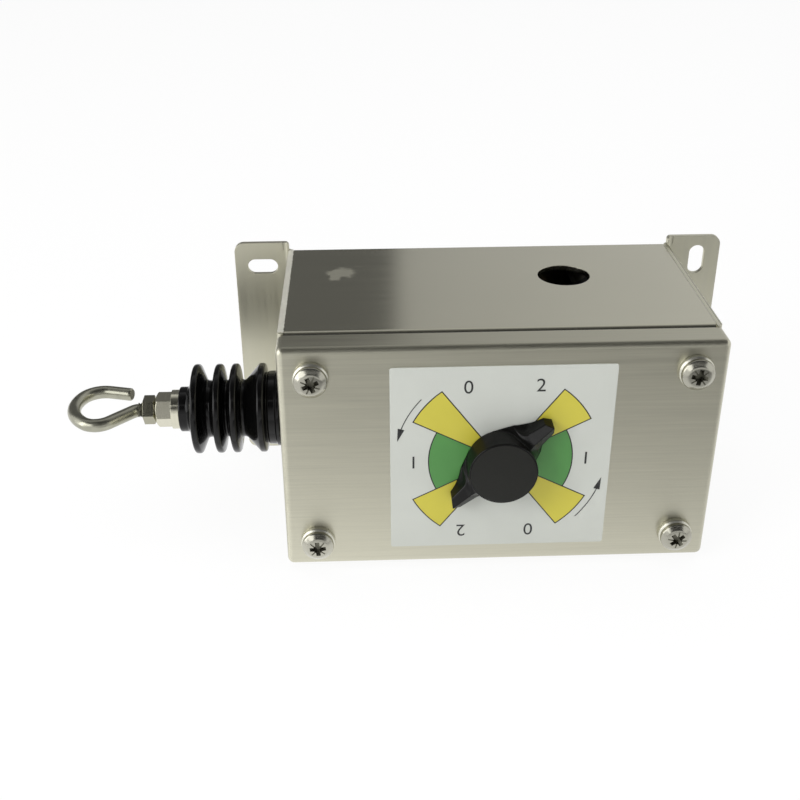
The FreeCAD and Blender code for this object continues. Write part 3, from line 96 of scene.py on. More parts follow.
def makeCamera(size):
    yaw, down, roll = (math.radians(size[key]) for key in ("yaw", "down", "roll"))
    ahead = Vector((math.sin(yaw) * math.cos(down), math.cos(yaw) * math.cos(down), -math.sin(down)))
    level = Vector((math.cos(yaw), -math.sin(yaw), 0))
    upright = level.cross(ahead)
    right = level * math.cos(roll) + upright * math.sin(roll)
    up = upright * math.cos(roll) - level * math.sin(roll)
    data = bpy.data.cameras.new("photoCamera")
    data.lens = size["lens"]
    data.sensor_width = size["sensor"]
    data.clip_start = 0.01
    data.clip_end = 30
    eye = bpy.data.objects.new("photoCamera", data)
    scene.collection.objects.link(eye)
    turn = Matrix((right, up, -ahead)).transposed().to_4x4()
    eye.matrix_world = Matrix.Translation(size["place"]) @ turn
    scene.camera = eye


makeCamera(camera)
print("camera ready")


# Shader groups: masks and values that several finishes share

def newGroup(name, inputs, outputs):
    group = bpy.data.node_groups.new(name, "ShaderNodeTree")
    for label, kind, value in inputs:
        socket = group.interface.new_socket(name=label, in_out="INPUT", socket_type=kind)
        socket.default_value = value
    for label, kind in outputs:
        group.interface.new_socket(name=label, in_out="OUTPUT", socket_type=kind)
    return group


def addNode(tree, kind, inputs=None, **settings):
    node = tree.nodes.new(kind)
    for key, value in settings.items():
        setattr(node, key, value)
    for key, value in (inputs or {}).items():
        if isinstance(value, bpy.types.NodeSocket):
            tree.links.new(value, node.inputs[key])
        else:
            node.inputs[key].default_value = value
    return node


def mathNode(tree, operation, first, second=0.0, clamp=False):
    settings = {0: first, 1: second}
    return addNode(tree, "ShaderNodeMath", settings, operation=operation, use_clamp=clamp).outputs[0]


def vectorNode(tree, operation, first, second):
    return addNode(tree, "ShaderNodeVectorMath", {0: first, 1: second}, operation=operation).outputs[0]


def noiseNode(tree, vector, scale, detail=3.0, rough=0.5):
    settings = {"Vector": vector, "Scale": scale, "Detail": detail, "Roughness": rough}
    return addNode(tree, "ShaderNodeTexNoise", settings).outputs["Fac"]


def rangeNode(tree, value, low, high, bottom=0.0, top=1.0):
    settings = {"Value": value, "From Min": low, "From Max": high, "To Min": bottom, "To Max": top}
    return addNode(tree, "ShaderNodeMapRange", settings).outputs[0]


def blendColours(tree, share, first, second):
    # Sockets 0, 6 and 7 of a colour mix are its share and its two colours
    return addNode(tree, "ShaderNodeMix", {0: share, 6: first, 7: second}, data_type="RGBA").outputs[2]


def useGroup(tree, group, values):
    return addNode(tree, "ShaderNodeGroup", values, node_tree=group).outputs


def makeBrushGroup():
    # Brush marks: fine lines, broader bands and slow clouds
    group = newGroup("brushMarks", [
        ("Stretch", "NodeSocketVector", (40, 2000, 2000)),
        ("Depth", "NodeSocketFloat", 1.0),
    ], [("Lines", "NodeSocketFloat"), ("Bands", "NodeSocketFloat"), ("Clouds", "NodeSocketFloat")])
    ends = addNode(group, "NodeGroupInput").outputs
    place = addNode(group, "ShaderNodeTexCoord").outputs["Object"]
    fineSpace = vectorNode(group, "MULTIPLY", place, ends["Stretch"])
    fine = noiseNode(group, fineSpace, 1.0, 2.0, 0.6)
    coarseSpace = vectorNode(group, "MULTIPLY", fineSpace, (0.35, 0.22, 0.22))
    bands = noiseNode(group, coarseSpace, 1.0, 2.0)
    clouds = noiseNode(group, place, 28.0, rough=0.55)
    lines = mathNode(group, "MULTIPLY", mathNode(group, "SUBTRACT", fine, 0.5), ends["Depth"])
    addNode(group, "NodeGroupOutput", {"Lines": lines, "Bands": bands, "Clouds": clouds})
    return group


def makePatchGroup():
    # Small specks and slow patches, for mouldings, rubber and printed film
    group = newGroup("patches", [
        ("Fineness", "NodeSocketFloat", 900.0),
    ], [("Grain", "NodeSocketFloat"), ("Patches", "NodeSocketFloat")])
    ends = addNode(group, "NodeGroupInput").outputs
    place = addNode(group, "ShaderNodeTexCoord").outputs["Object"]
    grain = noiseNode(group, place, ends["Fineness"], 2.0, 0.6)
    patches = noiseNode(group, place, 60.0)
    addNode(group, "NodeGroupOutput", {"Grain": grain, "Patches": patches})
    return group


def makeScuffGroup():
    # One pale rubbed spot with a ragged outline; Spread is one over its half sizes
    group = newGroup("scuff", [
        ("Place", "NodeSocketVector", (0, 0, 0)),
        ("Spread", "NodeSocketVector", (200, 200, 200)),
        ("Ragged", "NodeSocketFloat", 1.0),
    ], [("Mask", "NodeSocketFloat")])
    ends = addNode(group, "NodeGroupInput").outputs
    place = addNode(group, "ShaderNodeTexCoord").outputs["Object"]
    offset = vectorNode(group, "SUBTRACT", place, ends["Place"])
    away = vectorNode(group, "MULTIPLY", offset, ends["Spread"])
    distance = addNode(group, "ShaderNodeVectorMath", {0: away}, operation="LENGTH").outputs["Value"]
    waver = mathNode(group, "SUBTRACT", noiseNode(group, place, 320.0), 0.5)
    torn = mathNode(group, "MULTIPLY", waver, ends["Ragged"])
    mask = rangeNode(group, mathNode(group, "ADD", distance, torn), 0.6, 1.1, 1.0, 0.0)
    addNode(group, "NodeGroupOutput", {"Mask": mask})
    return group


brushMarks = makeBrushGroup()
patchMarks = makePatchGroup()
scuffMark = makeScuffGroup()


# Finishes

def newMaterial(name, **fixed):
    material = bpy.data.materials.new(name)
    material.use_nodes = True
    tree = material.node_tree
    shader = tree.nodes["Principled BSDF"]
    for label, value in fixed.items():
        shader.inputs[label.replace("_", " ")].default_value = value
    return material, tree, shader


def dim(colour, share):
    return tuple(channel * share for channel in colour[:3]) + (1,)


def finishSurface(tree, shader, colour, roughness, height, bump, depth, edge):
    # Colour, roughness and relief; bump is the relief's strength and edge rounds the corners
    relief = addNode(tree, "ShaderNodeBump", {"Strength": bump, "Distance": depth, "Height": height})
    if edge:
        rounded = addNode(tree, "ShaderNodeBevel", {"Radius": edge}, samples=6)
        tree.links.new(rounded.outputs[0], relief.inputs["Normal"])
    tree.links.new(colour, shader.inputs["Base Color"])
    tree.links.new(roughness, shader.inputs["Roughness"])
    tree.links.new(relief.outputs[0], shader.inputs["Normal"])


def steel(name, tone, rough, stretch, depth=0.5, contrast=0.12, bump=0.2, aniso=0.0, along=None, edge=0.0,
          metal=1.0):
    # Brushed, rolled or polished steel: lines in tone, roughness and height; along is the brush direction
    material, tree, shader = newMaterial(name, Metallic=metal, Anisotropic=aniso)
    marks = useGroup(tree, brushMarks, {"Stretch": stretch, "Depth": depth})
    lit = mathNode(tree, "ADD", mathNode(tree, "MULTIPLY", marks["Lines"], 1.2),
                   mathNode(tree, "MULTIPLY", marks["Bands"], 0.7), clamp=True)
    worn = blendColours(tree, lit, dim(tone, 1 - contrast), dim(tone, 1 + contrast * 0.6))
    cloudy = rangeNode(tree, marks["Clouds"], 0.3, 0.7)
    colour = blendColours(tree, cloudy, worn, blendColours(tree, 0.5, worn, dim(tone, 0.93)))
    brushed = mathNode(tree, "ADD", marks["Bands"], marks["Lines"])
    roughness = rangeNode(tree, brushed, 0.2, 0.9, rough * 0.85, rough * 1.2)
    finishSurface(tree, shader, colour, roughness, marks["Lines"], bump, 0.00006, edge)
    if aniso:
        facing = addNode(tree, "ShaderNodeNewGeometry").outputs["Normal"]
        tree.links.new(vectorNode(tree, "CROSS_PRODUCT", facing, along), shader.inputs["Tangent"])
    return material


def moulding(name, tone, rough, fineness=1200.0, bump=0.04, variation=0.1, edge=0.0, specular=0.5):
    # Plastics, rubber, nylon and printed film
    material, tree, shader = newMaterial(name, Specular_IOR_Level=specular)
    marks = useGroup(tree, patchMarks, {"Fineness": fineness})
    share = rangeNode(tree, marks["Patches"], 0.3, 0.7)
    colour = blendColours(tree, share, dim(tone, 1 - variation), dim(tone, 1 + variation))
    roughness = rangeNode(tree, marks["Grain"], 0.3, 0.7, rough * 0.88, rough * 1.12)
    finishSurface(tree, shader, colour, roughness, marks["Grain"], bump, 0.00005, edge)
    return material


def scuff(material, spots, metal=0.78):
    # Rubs dull spots into a steel; metal is the Metallic value that is left in them
    tree = material.node_tree
    total = 0.0
    for place, spread, ragged in spots:
        values = {
            "Place": [value * mm for value in place],
            "Spread": [1 / (value * mm) for value in spread],
            "Ragged": ragged,
        }
        total = mathNode(tree, "ADD", useGroup(tree, scuffMark, values)["Mask"], total, clamp=True)
    dulled = rangeNode(tree, total, 0.0, 1.0, 1.0, metal)
    tree.links.new(dulled, tree.nodes["Principled BSDF"].inputs["Metallic"])


# How fast the brush marks change along each axis
alongX = (26, 1500, 1500)
alongZ = (1500, 1500, 26)
lathed = (2200, 200, 200)
# Brush directions, which are never quite square to a face
level = (1, 0.04, 0.03)
upright = (0.03, 0.04, 1)
stainless = (0.60, 0.585, 0.475)

coverSteel = steel("coverSteel", stainless, 0.34, alongX, depth=1.0, contrast=0.16, bump=0.5,
                   aniso=0.75, along=level, edge=0.0004)
wrapSteel = steel("wrapSteel", stainless, 0.17, alongX, depth=0.4, contrast=0.05, bump=0.05,
                  aniso=0.7, along=level, edge=0.0004)
plateSteel = steel("plateSteel", (0.66, 0.645, 0.525), 0.44, alongZ, depth=0.6, contrast=0.08, bump=0.15,
                   aniso=0.5, along=upright, edge=0.0004)
innerSteel = steel("innerSteel", (0.56, 0.55, 0.50), 0.38, (60, 1200, 1200), depth=0.7, bump=0.3,
                   aniso=0.4, along=(1, 0, 0))
# Painted shade: a near-black copy of the steel for the sealing rim, which sits deep in the slit
slitShadeSteel = steel("slitShadeSteel", (0.10, 0.10, 0.09), 0.6, alongX, contrast=0.08)
brightSteel = steel("brightSteel", (0.45, 0.44, 0.375), 0.22, (300, 900, 300), depth=0.4, contrast=0.08,
                    bump=0.1)
washerSteel = steel("washerSteel", (0.70, 0.69, 0.60), 0.34, (400, 900, 400), contrast=0.10)
platedSteel = steel("platedSteel", (0.60, 0.60, 0.60), 0.34, (300, 300, 300), contrast=0.15)
turnedSteel = steel("turnedSteel", (0.56, 0.55, 0.53), 0.28, (2600, 160, 160), depth=0.7, bump=0.3)
hexSteel = steel("hexSteel", (0.74, 0.72, 0.59), 0.18, lathed, edge=0.0002)
# A darker copy of hexSteel for the lock nut: painted shade for the dark reflections in its facets
shadedNutSteel = steel("shadedNutSteel", (0.42, 0.41, 0.32), 0.18, lathed, edge=0.0002)
hookSteel = steel("hookSteel", (0.46, 0.455, 0.37), 0.30, (260, 260, 260), depth=0.8, contrast=0.30,
                  bump=0.05)
springSteel = steel("springSteel", (0.45, 0.45, 0.46), 0.30, (900, 300, 300), depth=0.6, contrast=0.15)
# Dark steel: painted shade inside the screw recesses; on the eye hook it darkens the thread and the cut
# wire ends
recessShadeAndThreadSteel = steel("recessShadeAndThreadSteel", (0.20, 0.195, 0.155), 0.5, (900, 900, 900), depth=1.0, contrast=0.3,
                  bump=0.8)
brass = steel("brass", (0.72, 0.56, 0.27), 0.28, (1800, 200, 200))
weldSteel = steel("weldSteel", (0.62, 0.61, 0.53), 0.5, (500, 700, 700), depth=1.0, contrast=0.22, bump=0.9,
                  metal=0.35)

scuffs = [  # place and half sizes in millimetres, and how ragged the outline is
    ((-57.5, -28.0, 46), (6.5, 5.0, 3.0), 1.5),
    ((-60.0, -33.5, 46), (2.5, 3.5, 3.0), 1.2),
    ((-50.7, -21.9, 46), (2.0, 0.16, 3.0), 0.1),
]
scuff(wrapSteel, scuffs)

knobBlack = (0.003, 0.003, 0.0027)
blackRubber = moulding("blackRubber", (0.002, 0.002, 0.002), 0.14, fineness=500.0, bump=0.03,
                       variation=0.25, specular=0.28)
knobPlastic = moulding("knobPlastic", knobBlack, 0.20, fineness=1400.0, bump=0.03, variation=0.2,
                       edge=0.0005, specular=0.20)
knobSide = moulding("knobSide", knobBlack, 0.40, fineness=1400.0, bump=0.05, variation=0.2,
                    edge=0.0005, specular=0.14)
knobFace = moulding("knobFace", (0.0092, 0.0095, 0.0072), 0.52, fineness=1600.0, bump=0.25,
                    edge=0.0005, specular=0.30)
labelFilm = moulding("labelFilm", (0.525, 0.543, 0.50), 0.40, variation=0.02)
yellowInk = moulding("yellowInk", (0.54, 0.48, 0.046), 0.42, variation=0.03)
greenInk = moulding("greenInk", (0.070, 0.25, 0.055), 0.42, variation=0.04)
blackInk = moulding("blackInk", (0.018, 0.018, 0.018), 0.45)
nylon = moulding("nylon", (0.72, 0.71, 0.65), 0.42, fineness=800.0, bump=0.1, variation=0.05)
switchPlastic = moulding("switchPlastic", (0.045, 0.045, 0.05), 0.45, fineness=900.0, bump=0.2,
                         variation=0.15)
print("materials ready")

finishOf = {
    "stainless_sheet": wrapSteel, "inner_sheet": innerSteel, "screw_steel": brightSteel,
    "plated_steel": platedSteel, "turned_steel": turnedSteel, "coupling_steel": hexSteel,
    "hook_steel": hookSteel, "spring_steel": springSteel, "bush_brass": brass,
    "black_rubber": blackRubber, "knob_plastic": knobPlastic, "dial_print": labelFilm,
    "nylon": nylon, "switch_plastic": switchPlastic,
}
# The sealing rim takes the near-black steel, painted shade for the slit
ownFinish = {
    "cover": coverSteel, "left_end_plate": plateSteel, "right_end_plate": plateSteel,
    "sealing_washers": washerSteel, "sealing_rim": slitShadeSteel, "lock_nut": shadedNutSteel,
}
for name, node in nodes.items():
    node.data.materials.clear()
    node.data.materials.append(ownFinish.get(name, finishOf[slotOf[name]]))
print("CAD nodes dressed")


# Mesh helpers

def addPiece(name, mesh, material, body, smooth=40.0):
    piece = bpy.data.objects.new(name, mesh)
    scene.collection.objects.link(piece)
    piece.data.materials.append(material)
    if smooth:
        mesh.shade_smooth()
        mesh.set_sharp_from_angle(angle=math.radians(smooth))
    if body:
        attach(piece, body)
    return piece


def meshFrom(name, points, faces):
    mesh = bpy.data.meshes.new(name)
    mesh.from_pydata([tuple(point) for point in points], [], faces)
    shape = bmesh.new()
    shape.from_mesh(mesh)
    bmesh.ops.recalc_face_normals(shape, faces=shape.faces)
    shape.to_mesh(mesh)
    shape.free()
    mesh.validate()
    return mesh


def settle(shape, name):
    # Turns a finished bmesh into a mesh
    mesh = bpy.data.meshes.new(name)
    shape.to_mesh(mesh)
    shape.free()
    return mesh


def fullTurn(count):
    return [2 * math.pi * step / count for step in range(count)]


def quads(near, far, count):
    # Faces between two rings of points, which start at the indices near and far
    faces = []
    for index in range(count):
        following = (index + 1) % count
        faces.append((near + index, near + following, far + following, far + index))
    return faces


def roundCorners(corners, steps=5):
    # Turns (place, radius, rounding) corners of a profile into points along small arcs
    points = []
    for index, corner in enumerate(corners):
        here = Vector(corner[:2])
        rounding = corner[2] if len(corner) > 2 else 0
        if not rounding or index in (0, len(corners) - 1):
            points.append(here)
            continue
        back = Vector(corners[index - 1][:2]) - here
        ahead = Vector(corners[index + 1][:2]) - here
        angle = back.angle(ahead)
        reach = rounding / math.tan(angle / 2)
        reach = min(reach, back.length * 0.499, ahead.length * 0.499)
        start = here + back.normalized() * reach
        finish = here + ahead.normalized() * reach
        for step in range(steps + 1):
            share = step / steps
            points.append(start.lerp(here, share).lerp(here.lerp(finish, share), share))
    return points


def lathe(profile, place, segments):
    # Turns a closed (along, radius) profile; place gives the point for (along, radius, angle)
    points, faces = [], []
    count = len(profile)
    for angle in fullTurn(segments):
        points += [place(along, radius, angle) for along, radius in profile]
    for turn in range(segments):
        faces += quads(turn * count, (turn + 1) % segments * count, count)
    return points, faces


def turnRings(profile, place, segments):
    # Rings of an open (height, radius) profile; place gives the point for (x, y, height)
    circle = [(math.cos(angle), math.sin(angle)) for angle in fullTurn(segments)]
    return [[place(radius * x, radius * y, height) for x, y in circle] for height, radius in profile]


def onRod(along, radius, angle):
    return Vector((along * mm, rodY + radius * mm * math.cos(angle), radius * mm * math.sin(angle)))


def joinRings(sections, capped=True):
    # Skins a row of rings that have as many points each
    count = len(sections[0])
    points = [point for section in sections for point in section]
    last = (len(sections) - 1) * count
    faces = []
    for near in range(0, last, count):
        faces += quads(near, near + count, count)
    if capped:
        faces.append(list(range(count)))
        faces.append([last + index for index in range(count)])
    return points, faces


def carve(form, cutter):
    # Cuts one closed mesh out of another and gives back the mesh that is left
    held = [bpy.data.objects.new(mesh.name, mesh) for mesh in (form, cutter)]
    for item in held:
        scene.collection.objects.link(item)
    cut = held[0].modifiers.new("cut", "BOOLEAN")
    cut.operation = "DIFFERENCE"
    cut.solver = "EXACT"
    cut.use_self = True
    cut.object = held[1]
    depsgraph = bpy.context.evaluated_depsgraph_get()
    result = bpy.data.meshes.new_from_object(held[0].evaluated_get(depsgraph))
    for item in held:
        bpy.data.objects.remove(item)
    return result


# Bellows

bellows = {
    "segments": 112,
    "outside": [
        (-122.05, 8.9, 0.7), (-118.5, 8.9, 1.2), (-117.0, 12.5, 2.5), (-116.2, 17.75, 1.25),
        (-113.9, 17.75, 1.25), (-111.2, 11.3, 1.6), (-108.9, 11.3, 1.4), (-107.5, 17.7, 1.2),
        (-105.1, 17.7, 1.2), (-103.8, 11.3, 0.8), (-102.7, 11.3, 0.8), (-101.1, 17.7, 1.2),
        (-98.7, 17.7, 1.2), (-97.6, 11.3, 1.2), (-95.9, 11.4, 1.6), (-90.4, 17.65, 1.1),
        (-88.2, 17.65, 1.1), (-87.5, 13.9, 0.5), (-86.7, 14.5, 0.3), (-84.2, 14.6, 0.3),
        (-83.7, 15.2, 0.3), (-82.6, 15.2, 0.3), (-82.1, 14.6, 0.3), (-80.35, 14.6, 0.3),
    ],
    "inside": [
        (-80.35, 13.35), (-86.9, 13.35), (-89.2, 9.8), (-115.1, 9.8), (-118.1, 5.35), (-122.05, 5.35),
    ],
}


def makeBellows(size):
    inside = size["inside"]
    profile = roundCorners(inside[-1:] + size["outside"] + inside[:1], 6) + inside[1:-1]
    mesh = meshFrom("bellowsRubber", *lathe(profile, onRod, size["segments"]))
    piece = addPiece("bellowsRubber", mesh, blackRubber, None, 35)
    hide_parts("bellows")
    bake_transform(piece)


makeBellows(bellows)
print("bellows made")

# Return spring, on the rod inside the box

spring = {"turns": 6, "radius": 6.7, "wire": 1.8, "left": -71.8, "right": -30.5, "steps": 40}


def makeSpring(size):
    # Square wire, so that four points make each section
    rings = []
    total = size["turns"] * size["steps"]
    half = size["wire"] / 2
    run = size["right"] - size["left"] - size["wire"]
    for step in range(total + 1):
        angle = 2 * math.pi * step / size["steps"]
        along = size["left"] + half + run * step / total
        corners = ((-half, -half), (half, -half), (half, half), (-half, half))
        rings.append([onRod(along + side, size["radius"] + out, angle) for side, out in corners])
    mesh = meshFrom("returnSpring", *joinRings(rings))
    piece = addPiece("returnSpring", mesh, springSteel, None)
    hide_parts("return_spring")
    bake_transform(piece)


makeSpring(spring)
print("spring made")

# Knob: a round boss with two roofed wings that swing out into a thin web at the foot

knob = {
    "angle": 43.0, "boss": 12.5, "height": 11.0, "edge": 0.8, "foot": 0.85, "bore": 4.2, "segments": 112,
    "crest": 8.3, "crestTip": 7.6, "eaves": 5.7, "half": 3.4, "halfTip": 2.5, "apex": 24.3, "slant": 0.8,
    "tip": 23.9, "tipHalf": 2.3, "pinch": 0.9, "pinchFrom": 0.4, "root": 16.0, "footLead": 0.6,
    "scoop": 3.5, "scoopFoot": 7.5, "scoopPower": 1.6, "rimLow": 1.0, "inset": 0.1, "rimInset": 0.12,
    "hollow": 1.8, "rise": 2.25, "reach": 2.9, "crease": 0.4, "stations": (10, 14, 10), "webBlend": 4,
    "webEnd": 5.6, "steps": 6, "grubHeight": 6.6, "grubRadius": 2.0, "grubDepth": (8.0, 14.0),
    "grubSteps": 40,
}


def footHalf(size, along):
    # Half width of the foot: from the narrow tip along a slightly hollow line that touches the boss
    reach = math.hypot(size["tip"], size["tipHalf"])
    touch = math.acos(size["boss"] / reach) + math.atan2(size["tipHalf"], size["tip"])
    touchAlong, touchAcross = size["boss"] * math.cos(touch), size["boss"] * math.sin(touch)
    if along <= touchAlong:
        return math.sqrt(max(size["boss"] ** 2 - along ** 2, 0.0))
    share = (along - touchAlong) / (size["tip"] - touchAlong)
    late = max((share - size["pinchFrom"]) / (1 - size["pinchFrom"]), 0.0)
    return touchAcross + (size["tipHalf"] - touchAcross) * share - size["pinch"] * 4 * late * (1 - late)


def wingStations(size):
    # Each station is the place along the crest, the crest's height, the rim and the place along the foot
    half, eaves, root, apex = size["half"], size["eaves"], size["root"], size["apex"]
    straight, scooped, web = size["stations"]
    footRoot = root + size["footLead"]
    webStart = size["boss"] - size["inset"]
    rows = []
    for step in range(straight):
        share = step / straight
        rimStart = apex - size["slant"] * size["halfTip"]
        rimAcross = size["halfTip"] + (half - size["halfTip"]) * share
        footStart = apex - size["slant"] * size["tipHalf"]
        rows.append((apex + (root - apex) * share,
                     size["crestTip"] + (size["crest"] - size["crestTip"]) * share,
                     Vector((rimStart + (root - rimStart) * share, rimAcross, eaves)),
                     footStart + (footRoot - footStart) * share))
    for step in range(scooped + 1):
        share = step / scooped
        turn = share * math.pi / 2
        out = 1 - math.cos(turn)
        rim = Vector((size["boss"] + size["scoop"] * (1 - math.sin(turn)),
                      half + (size["scoopFoot"] - half) * out,
                      eaves - (eaves - size["rimLow"]) * out ** size["scoopPower"]))
        rows.append((root + (size["boss"] - root) * share, size["crest"], rim,
                     footRoot + (webStart - footRoot) * share))
    spare = size["scoopFoot"] - footHalf(size, webStart) + size["rimInset"]
    for step in range(1, web + 1):
        along = webStart + (size["webEnd"] - webStart) * step / web
        edge = footHalf(size, along) - size["rimInset"] + spare * max(1 - step / size["webBlend"], 0.0)
        rows.append((along, size["crest"], Vector((along, edge, size["rimLow"])), along))
    return rows


def toward(point, other, reach):
    # The point at a reach on the way to another, or at most 0.4 of the way
    way = other - point
    return point + way.normalized() * min(reach, way.length * 0.4)


def wingRing(size, station):
    # One closed ring: over the roof, round the rim, down the hollow wall, and back on the other side
    crestAlong, crest, rim, footAlong = station
    crestPoint = Vector((crestAlong, 0.0, crest))
    foot = Vector((footAlong, footHalf(size, footAlong), size["foot"]))
    slope = (size["crest"] - size["eaves"]) / size["half"]
    miss = crest - slope * rim.y - rim.z
    roof = []
    for step in range(size["steps"] + 1):
        share = step / size["steps"]
        point = crestPoint.lerp(rim, share)
        into = min(max(size["boss"] + size["reach"] - math.hypot(point.x, point.y), 0.0), size["reach"])
        lift = size["rise"] * (1 - math.sqrt(1 - (into / size["reach"]) ** 2)) * (1 - share ** 2)
        point.z = crest - slope * point.y - miss * share ** 3 + lift
        roof.append(point)
    wall = []
    for step in range(1, size["steps"] + 1):
        share = step / size["steps"]
        point = rim.lerp(foot, share ** size["hollow"])
        point.z = rim.z + (foot.z - rim.z) * share
        wall.append(point)
    before = toward(rim, roof[-2], size["crease"])
    after = toward(rim, wall[0], size["crease"])
    bend = before.lerp(rim, 0.5).lerp(rim.lerp(after, 0.5), 0.5)
    line = roof[:-1] + [before, bend, after] + wall + [Vector((crestAlong, 0.0, size["foot"]))]
    mirrored = [Vector((point.x, -point.y, point.z)) for point in reversed(line[1:-1])]
    return line + mirrored, len(line)


def makeKnob(size):
    turn = math.radians(size["angle"])

    def place(along, across, height):
        x = along * math.cos(turn) - across * math.sin(turn)
        z = along * math.sin(turn) + across * math.cos(turn)
        return Vector((x, coverY / mm - height, z))

    foot, boss, height = size["foot"], size["boss"], size["height"]
    profile = roundCorners([
        (foot, size["bore"]), (foot, boss - size["inset"], 0.2), (foot + 0.5, boss, 0.2),
        (height - 0.05, boss, size["edge"]), (height - 0.02, boss - 1.2, 0.2), (height, 0.4),
    ], 6)
    form = meshFrom("knobBoss", *joinRings(turnRings(profile, place, size["segments"])))
    radius = size["grubRadius"]
    drill = []
    for deep in size["grubDepth"]:
        drill.append([place(radius * math.cos(angle), -deep, size["grubHeight"] + radius * math.sin(angle))
                      for angle in fullTurn(size["grubSteps"])])
    shape = bmesh.new()
    shape.from_mesh(carve(form, meshFrom("grubDrill", *joinRings(drill))))
    rows = [wingRing(size, station) for station in wingStations(size)]
    half = rows[0][1]
    for side in (1, -1):
        rings = [[place(side * point.x, side * point.y, point.z) for point in ring] for ring, _ in rows]
        points, faces = joinRings(rings, capped=False)
        count = len(rings[0])
        faces.append(list(range(half)))
        faces.append([0] + list(range(half - 1, count)))
        faces.append([(len(rings) - 1) * count + index for index in range(count)])
        shape.from_mesh(meshFrom("knobWing", points, faces))
    mesh = settle(shape, "pointerKnob")
    mesh.transform(Matrix.Scale(mm, 4))
    piece = addPiece("pointerKnob", mesh, knobPlastic, "pointer_knob", 30)
    mesh.materials.append(knobFace)
    mesh.materials.append(knobSide)
    for face in mesh.polygons:
        if face.center.y < coverY - (height - 0.04) * mm:
            face.material_index = 1
        elif face.normal.y > -0.3:  # walls that don't look to the front
            face.material_index = 2
    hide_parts("knob")


makeKnob(knob)
print("knob made")

# Dial print: thin layers of ink on the label

dial = {
    "hub": 6.3, "green": 26.4, "yellow": 36.1, "half": 27.3, "far": 52.8, "line": 0.42,
    "ink": 0.02, "arrow": 38.9, "arrowLine": 0.34, "head": 5.4, "headHalf": 1.25,
    "arrowTip": 12.7, "arrowGap": 6.0, "arrowTail": 41.5, "middle": (0.0, -0.3),
}


def dialPoint(size, radius, degrees):
    angle = math.radians(degrees)
    x = size["middle"][0] + radius * math.cos(angle)
    z = size["middle"][1] + radius * math.sin(angle)
    return Vector((x * mm, labelY, z * mm))


def flatInk(name, outlines, lift, material):
    # Gives flat outlines, which are lists of points on the label, a thickness of lift
    shape = bmesh.new()
    for outline in outlines:
        corners = [shape.verts.new(point) for point in outline]
        face = shape.faces.new(corners)
        raised = bmesh.ops.extrude_face_region(shape, geom=[face])
        moved = [item for item in raised["geom"] if isinstance(item, bmesh.types.BMVert)]
        bmesh.ops.translate(shape, verts=moved, vec=(0, -lift * mm, 0))
    bmesh.ops.recalc_face_normals(shape, faces=shape.faces)
    addPiece(name, settle(shape, name), material, "enclosure", 0)


def sectorOutline(size, low, high, radius, steps=24):
    rim = [dialPoint(size, radius, low + (high - low) * step / steps) for step in range(steps + 1)]
    return [dialPoint(size, size["hub"], low)] + rim + [dialPoint(size, size["hub"], high)]


def bandOutline(size, low, high, radius, width, steps=24):
    angles = [low + (high - low) * step / steps for step in range(steps + 1)]
    outer = [dialPoint(size, radius + width / 2, angle) for angle in angles]
    inner = [dialPoint(size, radius - width / 2, angle) for angle in reversed(angles)]
    return outer + inner


def rayOutline(size, degrees, near, far, width):
    side = math.radians(degrees + 90)
    shift = Vector((math.cos(side), 0, math.sin(side))) * width / 2 * mm
    start, finish = dialPoint(size, near, degrees), dialPoint(size, far, degrees)
    return [start + shift, finish + shift, finish - shift, start - shift]


def makeDialPrint(size):
    half, far, line, arrow = size["half"], size["far"], size["line"], size["arrow"]
    yellow, green, black = [], [], []
    for base in (0, 180):
        green.append(sectorOutline(size, base - half, base + half, size["green"]))
        for low, high in ((half, far), (-far, -half)):
            yellow.append(sectorOutline(size, base + low, base + high, size["yellow"]))
            black.append(bandOutline(size, base + low, base + high, size["yellow"], line))
        black.append(bandOutline(size, base - half, base + half, size["green"], line))
        for degrees in (half, -half, far, -far):
            black.append(rayOutline(size, base + degrees, size["hub"], size["yellow"] + line / 2, line))
        tip, tail = base - size["arrowTip"], base - size["arrowTail"]
        black.append(bandOutline(size, tail, tip - size["arrowGap"], arrow, size["arrowLine"]))
        point = dialPoint(size, arrow - 0.1, tip)
        back = dialPoint(size, arrow, tip - math.degrees(size["head"] / arrow))
        side = (point - back).normalized().cross(Vector((0, 1, 0))) * size["headHalf"] * mm
        black.append([point, back + side, back - side])
    flatInk("dialYellow", yellow, size["ink"], yellowInk)
    flatInk("dialGreen", green, size["ink"], greenInk)
    flatInk("dialLines", black, size["ink"] * 2, blackInk)


makeDialPrint(dial)

numbers = {
    "height": 5.4, "em": 1.38, "lift": 0.03,
    "places": [("1", (31.4, -0.6), 0), ("2", (13.4, 30.0), 0), ("0", (11.6, -31.8), 0),
               ("1", (-31.9, -0.4), 180), ("2", (-14.0, -31.0), 180), ("0", (-12.4, 30.4), 180)],
}


